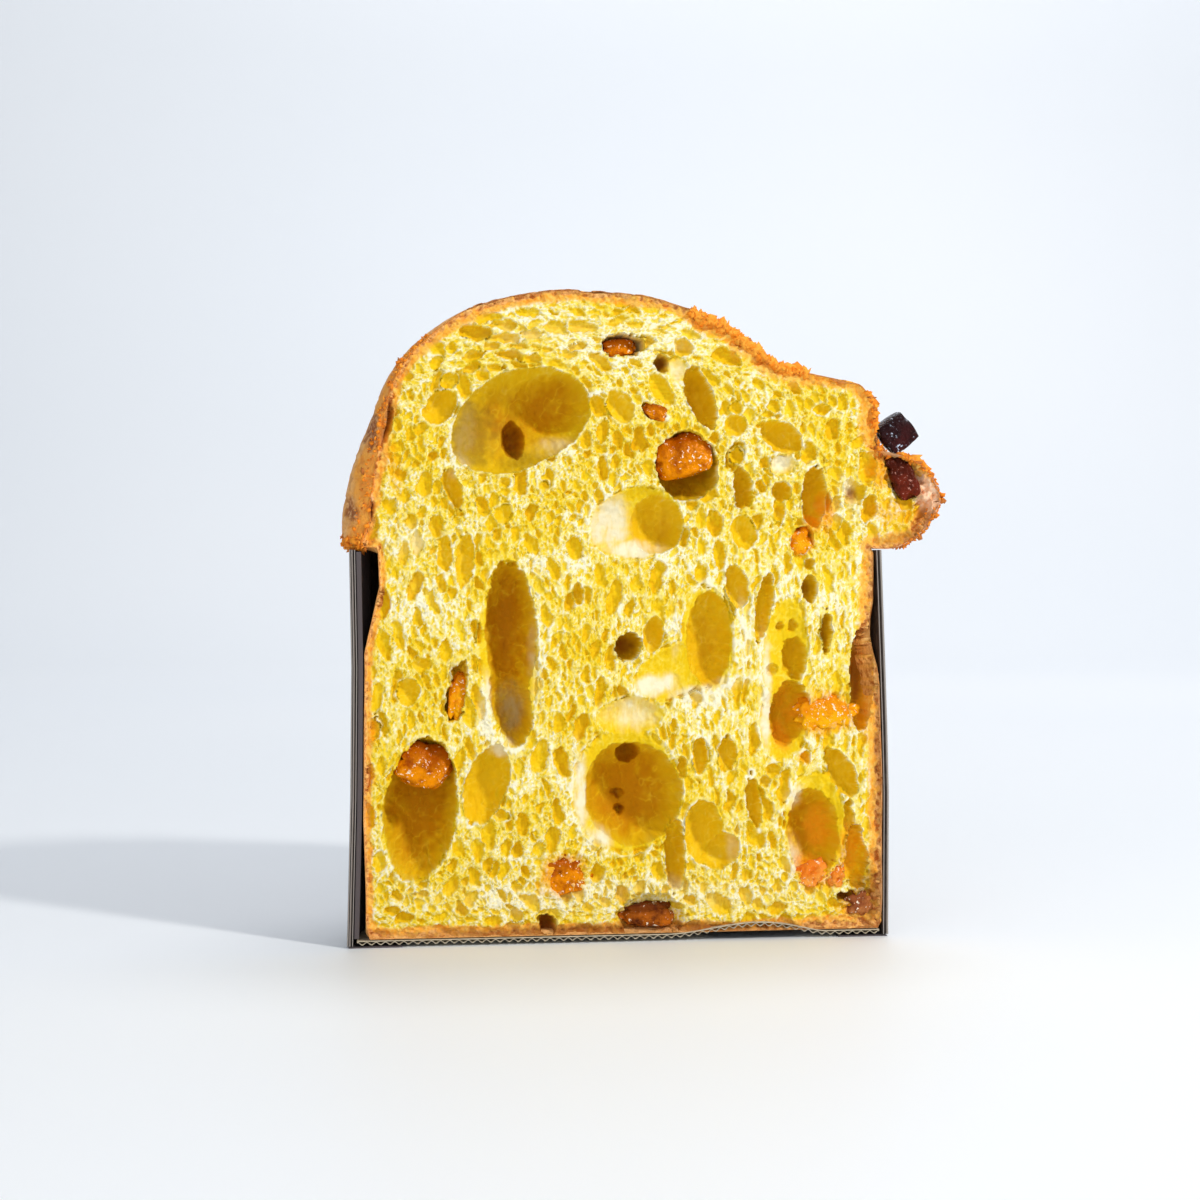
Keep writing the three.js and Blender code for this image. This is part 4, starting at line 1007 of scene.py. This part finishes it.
def build_crust():
    """The loaf's skin with a recess in front that the crumb fills."""
    near = np.concatenate([np.linspace(0, 0.14, 24), np.linspace(0.15, np.pi / 2, 96)[:-1]])
    angles = np.concatenate([near, [np.pi / 2], np.pi - near[::-1]])
    side_rows, crown_rows = 24, 230
    x, y, z = loaf_form(angles, side_rows, crown_rows)
    stand = crust_relief(x, y, z)
    radius = np.hypot(x, y)
    upright = np.clip((z - 150) / 40, 0, 1)
    middle = ramp(radius, 3, 16)
    outward = stand * (1 - upright) * middle / np.maximum(radius, 1)
    x, y = x * (1 + outward), y * (1 + outward)
    z = z + stand * upright
    open_skin = torn(x, y, z)
    baked = ramp(rough_solid(x, y, z, 16.0, 123, 3) + 0.5 * rough_solid(x, y, z, 4.0, 131, 2), 0.05, 0.8)
    baked = np.maximum(baked, 0.85 * ramp(z, 158, 196) * (0.75 + 0.5 * rough_solid(x, y, z, 9.0, 137, 2)))
    baked = baked * (1 - 0.75 * np.exp(-((y / 25) ** 2)) * ramp(-x, 48, 62))
    baked = np.maximum(baked * (1 - open_skin), 0.9 * skin_blister(x, y, z))
    # Painted light: paler on the ear's side near the cut, where the skin turns towards the front.
    lit_skin = ramp(x, 76, 88) * ramp(-y, -26, -12) * (0.75 + 0.5 * rough_solid(x, y, z, 3.0, 139, 2))
    open_skin = open_skin * (1 - skin_blister(x, y, z))
    rows, columns = x.shape
    rows -= 1
    x, y, z = x[:rows], y[:rows], z[:rows]
    top_height = z[-1].mean() + 0.1
    grid = place(x, y, z).reshape(-1, 3)
    apex = rows * columns
    quads = grid_quads(rows, columns)
    last = (rows - 1) * columns
    step = np.arange(columns - 1)
    cap = np.stack([last + step, last + step + 1, np.full(columns - 1, apex)], axis=1)
    foot = list(range(columns))
    right = [r * columns for r in range(rows)]
    left = [r * columns + columns - 1 for r in range(rows)]
    front = right + [apex] + left[::-1]
    front_x = np.append(x.ravel(), 0.0)[front]
    front_z = np.append(z.ravel(), top_height)[front]
    foot_part = front_z < FOOT_HEIGHT
    inset_x, inset_z = inset(front_x, front_z, RECESS_INSET)
    back_x, back_z = inset(front_x, front_z, np.where(foot_part, RECESS_INSET, BACK_INSET - 1))
    back_x = back_x * np.where(foot_part, FOOT_SQUEEZE, 1)
    count = len(front)
    start = apex + 1
    points = np.vstack([
        grid,
        place(0.0, 0.0, top_height)[None, :],
        place(inset_x, np.full(count, 3.2), inset_z),
        place(back_x, np.full(count, SLAB_BACK + 0.5), back_z),
    ])
    inner = np.arange(start, start + count)
    deep = inner + count
    quads = np.vstack([quads, ring_walls(np.array(front), inner, deep)])
    values = {
        name: np.append(value[:rows].ravel(), np.zeros(1 + 2 * count))
        for name, value in (("torn", open_skin), ("baked", baked), ("lit_skin", lit_skin))
    }
    piece = make_mesh("crust", points, quads, cap, [foot[::-1], list(deep[::-1])], values)
    piece.data.materials.append(crust_material())
    return piece


# Torn tufts and crumbs on the crust: the corners of the box they sit in, how many, their mean half size in
# millimetres, and how dark they are.
CRUMB_SPOTS = (
    ("torn score", (16, -1, 170), (66, 44, 197), 2700, 0.54, 0.16),
    ("ear slope", (77, -1, 144), (99, 12, 170), 620, 0.46, 0.34),
    ("ear rim", (88, -1, 118), (104, 14, 148), 420, 0.34, 0.62),
    ("left lip", (-88, -1, 119), (-79, 16, 125), 260, 0.36, 0.45),
    ("left edge", (-88, -1, 124), (-56, 3, 186), 260, 0.28, 0.35),
)
CRUMB_KEEP_OFF = ("raisin_crust",)
# No crumb stands out further than this before the cut.
CRUMB_FRONT = -0.3
# Those of the score sit where the skin is more torn than this.
CRUMB_TORN = 0.35


def build_crumbs(crust):
    """Crumbs and tufts that stand on the crust, as one piece of small closed lumps."""
    rng = np.random.default_rng(29)
    count = len(crust.data.vertices)
    spots = np.empty(count * 3)
    crust.data.vertices.foreach_get("co", spots)
    spots = spots.reshape(-1, 3)
    skin = np.column_stack([(spots[:, 0] - AXIS_X) / MM, (spots[:, 1] - CUT_Y) / MM, spots[:, 2] / MM])
    opened = np.empty(count)
    crust.data.attributes["torn"].data.foreach_get("value", opened)
    free = np.ones(count, dtype=bool)
    for fruit in CRUMB_KEEP_OFF:
        x, _, z, half_x, _, half_z, *_ = FRUIT[fruit]
        free &= np.hypot((skin[:, 0] - x) / (half_x + 1), (skin[:, 2] - z) / (half_z + 1)) > 1
    lump, faces = round_lump()
    points, tints = [], []
    for name, low, high, number, half, dark in CRUMB_SPOTS:
        within = free & np.all((skin >= low) & (skin <= high), axis=1)
        if name == "torn score":
            within &= opened > CRUMB_TORN
        found = np.nonzero(within)[0]
        weight = np.exp(-np.maximum(skin[found, 1], 0) / 14)
        chosen = rng.choice(found, number, p=weight / weight.sum())
        for spot in skin[chosen]:
            sizes = half * rng.lognormal(0, 0.45) * rng.uniform(0.5, 1.8, 3)
            turn, tilt = rng.uniform(0, math.tau, 2)
            own = lump * (1 + 0.38 * rng.standard_normal((len(lump), 1))) * sizes
            c, s = math.cos(turn), math.sin(turn)
            spin = np.array([[c, 0, -s], [0, 1, 0], [s, 0, c]])
            c, s = math.cos(tilt), math.sin(tilt)
            lean = np.array([[c, -s, 0], [s, c, 0], [0, 0, 1]])
            own = own @ spin @ lean + spot + rng.normal(0, 0.3, 3)
            own[:, 1] += max(CRUMB_FRONT - own[:, 1].min(), 0)
            points.append(own)
            tints.append(np.full(len(own), np.clip(dark + 0.3 * rng.standard_normal(), 0, 1)))
    starts = np.arange(len(points)) * len(lump)
    triangles = np.concatenate([faces + start for start in starts])
    points = np.vstack(points)
    piece = make_mesh("crumbs", place(*points.T), triangles=triangles, values={"tint": np.concatenate(tints)})
    piece.data.materials.append(loose_material())
    return piece


def round_lump():
    """The points and triangles of a ball of twenty sides."""
    golden = (1 + math.sqrt(5)) / 2
    points = [
        (-1, golden, 0), (1, golden, 0), (-1, -golden, 0), (1, -golden, 0), (0, -1, golden), (0, 1, golden),
        (0, -1, -golden), (0, 1, -golden), (golden, 0, -1), (golden, 0, 1), (-golden, 0, -1), (-golden, 0, 1),
    ]
    faces = [
        (0, 11, 5), (0, 5, 1), (0, 1, 7), (0, 7, 10), (0, 10, 11), (1, 5, 9), (5, 11, 4), (11, 10, 2),
        (10, 7, 6), (7, 1, 8), (3, 9, 4), (3, 4, 2), (3, 2, 6), (3, 6, 8), (3, 8, 9), (4, 9, 5), (2, 4, 11),
        (6, 2, 10), (8, 6, 7), (9, 8, 1),
    ]
    return np.array(points) / math.hypot(1, golden), np.array(faces)


def inset(x, z, distance):
    """A closed outline, running anticlockwise, moved inwards."""
    dx = np.roll(x, -1) - np.roll(x, 1)
    dz = np.roll(z, -1) - np.roll(z, 1)
    length = np.maximum(np.hypot(dx, dz), 1e-6)
    return x - distance * dz / length, z + distance * dx / length


# The paper case

def closed_sheet(name, over, under, look, values=None):
    """A closed sheet between two surfaces, each a grid of points in metres."""
    profile = np.concatenate([over, under[::-1]], axis=0)
    rows, across = profile.shape[:2]
    last = (rows - 1) * across
    step = np.arange(across)
    close = np.stack([last + step[:-1], last + step[1:], step[1:], step[:-1]], axis=1)
    ends = [list(np.arange(rows) * across), list(np.arange(rows)[::-1] * across + across - 1)]
    quads = np.vstack([grid_quads(rows, across), close])
    piece = make_mesh(name, profile.reshape(-1, 3), quads, polygons=ends, smooth=False, values=values)
    piece.data.materials.append(look)
    return piece


def round_axis(radius, angle, z):
    """Points at a radius and an angle round the case's axis."""
    return place(radius * np.cos(angle), radius * np.sin(angle), z + 0 * angle)


def build_case():
    """The case wall: two papers with a fluted one between."""
    paper = paper_material()
    angles = np.linspace(0, np.pi, CASE_COLUMNS + 1)[None, :]
    heights = np.array([0.6, 3, 20, 45, 66, 85, 103, CASE_HEIGHT])[:, None]
    cut_edges = np.zeros((2 * heights.size, angles.size))
    cut_edges[:, [0, -1]] = 1
    pieces = []
    for name, middle, wave, thickness in (
        ("case_outer_paper", -0.27, -0.07, 0.28),
        ("case_flutes", -0.95, 0.36, 0.22),
        ("case_inner_paper", -1.72, 0.05, 0.26),
    ):
        r = wall_outer(angles, heights) + middle + wave * np.cos(CASE_FLUTES * angles)
        over, under = (round_axis(r + side * thickness / 2, angles, heights) for side in (1, -1))
        pieces.append(closed_sheet(name, over, under, paper, {"edge": cut_edges.ravel()}))
    return pieces


def build_overlap():
    """The inner ply where the paper laps over itself behind the left cut."""
    angles = np.linspace(np.pi - OVERLAP_ANGLE, np.pi, 70)[None, :]
    heights = np.linspace(FLANGE_THICKNESS + BOARD_THICKNESS + 3 * GAP, CASE_HEIGHT - 0.6, 16)[:, None]
    r = wall_outer(angles, heights) - WALL_THICKNESS - GAP + 0.12 * np.cos(CASE_FLUTES * angles)
    over = round_axis(r - 0.05, angles, heights)
    under = round_axis(r - OVERLAP_THICKNESS + 0.1, angles, heights)
    return closed_sheet("case_overlap_paper", over, under, bpy.data.materials["case_paper"])


def build_flange():
    """The wall's rim folded in under the board."""
    angles = np.linspace(0, np.pi, 241)[None, :]
    across = np.linspace(0, 1, 9)[:, None]
    outer_r = CASE_RADIUS - 0.6
    inner_r = CASE_RADIUS - FLANGE_WIDTH + 0.9 + 0.9 * noise(angles * 22, across * 0, across * 0, 141)
    r = outer_r + (inner_r - outer_r) * across
    pleat = 0.10 * (1 + np.cos(angles * 46 + across)) * ramp(across, 0.1, 0.5)
    low, high = round_axis(r, angles, 0.02 + 0 * pleat), round_axis(r, angles, 0.34 + 0.5 * pleat)
    return closed_sheet("case_rim", low, high, bpy.data.materials["case_paper"])


def build_board():
    """The board under the loaf: a flat paper over a fluted one, both bowed up on the right."""
    reach = CASE_RADIUS - WALL_THICKNESS - 1.2
    columns = int(2 * reach / FLUTE_PITCH) * 8
    x = np.linspace(-reach, reach, columns + 1)[None, :]
    y = np.sqrt(np.maximum(reach**2 - x**2, 0.01)) * np.linspace(0, 1, 6)[:, None]
    lowest = FLANGE_THICKNESS + GAP + board_lift(x)
    look = board_material()
    pieces = []
    for name, middle, wave, thickness in (
        ("board_flutes", 0.58, 0.42, 0.22),
        ("board_liner", BOARD_THICKNESS - 0.2, 0, 0.3),
    ):
        level = lowest + middle + wave * np.cos(2 * np.pi * x / FLUTE_PITCH) + 0 * y
        top, under = (place(x + 0 * y, y, level + side * thickness / 2) for side in (1, -1))
        pieces.append(closed_sheet(name, top, under, look))
    return pieces


# The fruit: centre, half sizes, lean, how square, its look. The same pieces as the frame's nodes.
FRUIT = {
    "candied_orange_left": (-61.3, 6.8, 55.0, 8.8, 6.2, 7.4, -22, 0.25, "orange"),
    "candied_orange_centre": (19.8, 6.5, 150.2, 9.6, 6.0, 7.6, 10, 0.25, "orange"),
    "candied_orange_top": (0.4, 7.0, 183.2, 5.2, 3.2, 2.9, 8, 0.35, "orange"),
    "candied_orange_small": (10.2, 2.2, 163.8, 4.0, 2.6, 2.6, -20, 0.35, "orange"),
    "candied_orange_streak": (56.3, 3.4, 123.7, 3.4, 3.0, 4.5, 24, 0.3, "amber"),
    "candied_orange_slot": (-50.6, 5.0, 76.4, 2.6, 2.6, 8.0, -8, 0.3, "amber"),
    "candied_orange_right": (64.6, 3.2, 70.4, 8.6, 3.4, 5.6, 6, 0.25, "amber"),
    "candied_orange_base": (-17.0, 3.7, 22.0, 7.2, 3.9, 6.2, 14, 0.2, "orange"),
    "raisin_base": (8.3, 4.1, 8.0, 9.3, 4.2, 4.7, 0, 0.25, "raisin"),
    "raisin_crust": (87.2, 3.6, 157.7, 6.0, 4.8, 6.0, 35, 0.6, "burnt"),
    "raisin_crust_low": (89.2, 3.4, 143.8, 4.2, 3.8, 8.8, 23, 0.25, "wine"),
    "candied_apricot_low": (60.8, 4.2, 19.2, 4.9, 3.8, 3.6, 30, 0.25, "apricot"),
    "candied_apricot_mid": (68.4, 3.6, 18.8, 2.7, 3.4, 4.2, 0, 0.25, "apricot"),
    "candied_apricot_corner": (76.0, 4.4, 10.5, 4.6, 3.8, 4.0, 30, 0.25, "plum"),
}
# The cut has gone through the fruit: what stands before this is nearly level with it.
FRUIT_FRONT = 0.3
# Each piece leans back a little at its top.
FRUIT_TILT = 0.25
FRUIT_GRID = (32, 48)
# Pieces that the crumb has grown into, so that its walls stand before them, and how far behind they lie.
GROWN_IN = ("candied_orange_base", "candied_orange_right", "candied_orange_streak", "candied_apricot_low",
            "candied_apricot_mid", "candied_apricot_corner")
GROWN_IN_DEPTH = 0.7
# Pieces that fill the top of their bubble.
FILLS_TOP = ("candied_orange_left", "candied_orange_centre", "candied_orange_top")


def build_fruit():
    """The candied and dried fruit, each over its own node."""
    looks = {
        "orange": candied_material("candied_orange", (0.86, 0.27, 0.0), (0.36, 0.062, 0.0), 0.16),
        "amber": candied_material("candied_amber", (0.94, 0.43, 0.004), (0.80, 0.23, 0.002), 0.16),
        "apricot": candied_material("candied_apricot", (0.96, 0.38, 0.06), (0.80, 0.19, 0.012), 0.3, 0.2),
        "plum": candied_material("candied_plum", (0.50, 0.18, 0.05), (0.24, 0.06, 0.02), 0.4, 0.2),
        "raisin": candied_material(
            "baked_raisin", (0.52, 0.125, 0.004), (0.07, 0.010, 0.002), 0.14, 0.55, (600, 0.0010)),
        "wine": candied_material(
            "wine_raisin", (0.16, 0.018, 0.006), (0.035, 0.006, 0.003), 0.14, 0.4, (600, 0.0010),
            glint=(0.46, 0.20, 0.15),
        ),
        "burnt": candied_material(
            "burnt_raisin", (0.05, 0.008, 0.008), (0.01, 0.004, 0.005), 0.12, 0.55, (500, 0.0022),
            glint=(0.62, 0.70, 0.84),
        ),
    }
    rows, columns = FRUIT_GRID
    polar = np.linspace(0, np.pi, rows)[1:-1, None]
    turn = np.linspace(0, 2 * np.pi, columns, endpoint=False)[None, :]
    for name, (x, y, z, half_x, half_y, half_z, lean, square, look) in FRUIT.items():
        ux, uy, uz = np.sin(polar) * np.cos(turn), np.sin(polar) * np.sin(turn), np.cos(polar) + 0 * turn
        ends = ((ux, 0, 0), (uy, 0, 0), (uz, 1, -1))
        ux, uy, uz = (np.concatenate([[first], v.ravel(), [final]]) for v, first, final in ends)
        most = np.maximum(np.maximum(abs(ux), abs(uy)), abs(uz))
        push = (1 - square) + square / most
        even = 1 - 0.8 * ramp(square, 0.4, 0.6)
        lump = 1 + 0.26 * even * rough_solid(ux + x, uy, uz + z, 1.0, 151, 2)
        crease = np.abs(rough_solid(0.6 * ux + x, uy, 1.3 * uz + z, 0.8, 155, 1))
        lump = lump - 0.20 * even * (1 - ramp(crease, 0.0, 0.34))
        lump = lump + 0.03 * rough_solid(ux + x, uy, uz + z, 0.2, 157, 2)
        lump = lump + 0.5 * (name in GROWN_IN) * rough_solid(ux + x, uy, uz + z, 0.45, 159, 2)
        push = push * lump / (1 + 0.12 * square)
        fuller = 1 + 0.20 * ramp(uz, -0.2, 0.6) * (name in FILLS_TOP)
        px, py, pz = ux * push * half_x * fuller, uy * push * half_y, uz * push * half_z * fuller
        a = math.radians(lean)
        px, pz = px * math.cos(a) - pz * math.sin(a), px * math.sin(a) + pz * math.cos(a)
        body = grid_quads(rows - 2, columns, wrap=True) + 1
        ring = np.arange(columns)
        after = (ring + 1) % columns
        last = 1 + (rows - 3) * columns
        end = 1 + (rows - 2) * columns
        caps = np.concatenate([
            np.stack([1 + after, 1 + ring, np.zeros(columns, dtype=int)], axis=1),
            np.stack([last + ring, last + after, np.full(columns, end)], axis=1),
        ])
        front = y + py + FRUIT_TILT * pz
        level = FRUIT_FRONT + (GROWN_IN_DEPTH if name in GROWN_IN else 0)
        front = np.where(front < level, level + 0.25 * (front - level), front)
        # How high each point is on the piece, for the painted shade that darkens its top.
        up = {"up": (uz + 1) / 2}
        points = place(x + px, front, z + pz)
        piece = make_mesh(f"{name}_piece", points, body[:, ::-1], caps[:, ::-1], values=up)
        piece.data.materials.append(looks[look])
        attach(piece, "root")
        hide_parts(name)


# Camera, lights and floor

# The photograph's viewpoint, 700 mm from the cut face and 8.5 degrees to its left: its place in millimetres,
# the degrees that it looks down and turns to the right, and the focal length.
CAMERA_PLACE = (-103.5, -692.3, 120.0)
CAMERA_DOWN = 1.18
CAMERA_TURN = 7.94
CAMERA_LENS = 68.3


def build_camera():
    """The photograph's camera."""
    data = bpy.data.cameras.new("camera")
    data.lens = CAMERA_LENS
    data.sensor_width = 36.0
    camera = bpy.data.objects.new("camera", data)
    camera.location = place(*CAMERA_PLACE)
    camera.rotation_euler = (math.radians(90 - CAMERA_DOWN), 0, math.radians(-CAMERA_TURN))
    bpy.context.scene.collection.objects.link(camera)
    bpy.context.scene.camera = camera


def area_light(name, position, target, size, power, colour):
    """A round light aimed at a point."""
    data = bpy.data.lights.new(name, "AREA")
    data.shape = "DISK"
    data.size = size
    data.energy = power
    data.color = colour
    light = bpy.data.objects.new(name, data)
    light.location = position
    direction = target - light.location
    light.rotation_euler = direction.to_track_quat("-Z", "Y").to_euler()
    bpy.context.scene.collection.objects.link(light)


def build_stage():
    """A pale floor that sweeps up behind, a strong key light from the upper right and a soft sky."""
    target = Vector(place(0, 20, 100))
    area_light("key", Vector(place(820, -900, 980)), target, 0.16, 12.5, (1.0, 0.97, 0.92))
    area_light("fill", Vector(place(-500, -1300, 500)), target, 1.6, 6.0, (0.90, 0.95, 1.0))
    behind = Vector(place(1150, 2400, 500))
    area_light("backdrop", Vector(place(700, 900, 2500)), behind, 1.6, 37.0, (0.97, 0.965, 0.98))
    world = bpy.data.worlds.new("sky")
    bpy.context.scene.world = world
    world.use_nodes = True
    background = world.node_tree.nodes["Background"]
    background.inputs["Color"].default_value = (0.88, 0.93, 1.0, 1)
    background.inputs["Strength"].default_value = 0.42
    # The floor in metres: half its width, its front edge, where it starts to rise, the bend and its height.
    span, near, back, corner, high = 6.0, -3.5, 1.6, 0.8, 5.0
    profile = [(near, 0.0), (back, 0.0)]
    for k in range(1, 17):
        a = math.pi / 2 * k / 16
        profile.append((back + corner * math.sin(a), corner - corner * math.cos(a)))
    profile.append((back + corner, high))
    points = [(sx * span, y, z) for y, z in profile for sx in (-1, 1)]
    quads = [(2 * k, 2 * k + 1, 2 * k + 3, 2 * k + 2) for k in range(len(profile) - 1)]
    floor = make_mesh("floor", points, quads)
    look = Look("floor", 0.55)
    tone = look.specks(0.9, 1, 0.3, 0.7)
    floor.data.materials.append(look.finished(look.mixed(tone, (0.84, 0.87, 0.90), (0.88, 0.90, 0.92))))
    bpy.context.scene.view_settings.view_transform = "Standard"
    bpy.context.scene.view_settings.exposure = 0.0


def main():
    """Builds the pieces, each riding the root and standing for its node."""
    build_camera()
    build_stage()
    crumb = build_crumb()
    crust = build_crust()
    for piece in crumb + [crust, build_crumbs(crust)]:
        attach(piece, "root")
        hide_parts("bread")
    for piece in build_case() + [build_flange()]:
        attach(piece, "root")
        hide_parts("case_wall")
    lap = build_overlap()
    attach(lap, "root")
    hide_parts("case_overlap")
    for piece in build_board():
        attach(piece, "root")
        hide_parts("case_board")
    build_fruit()


main()
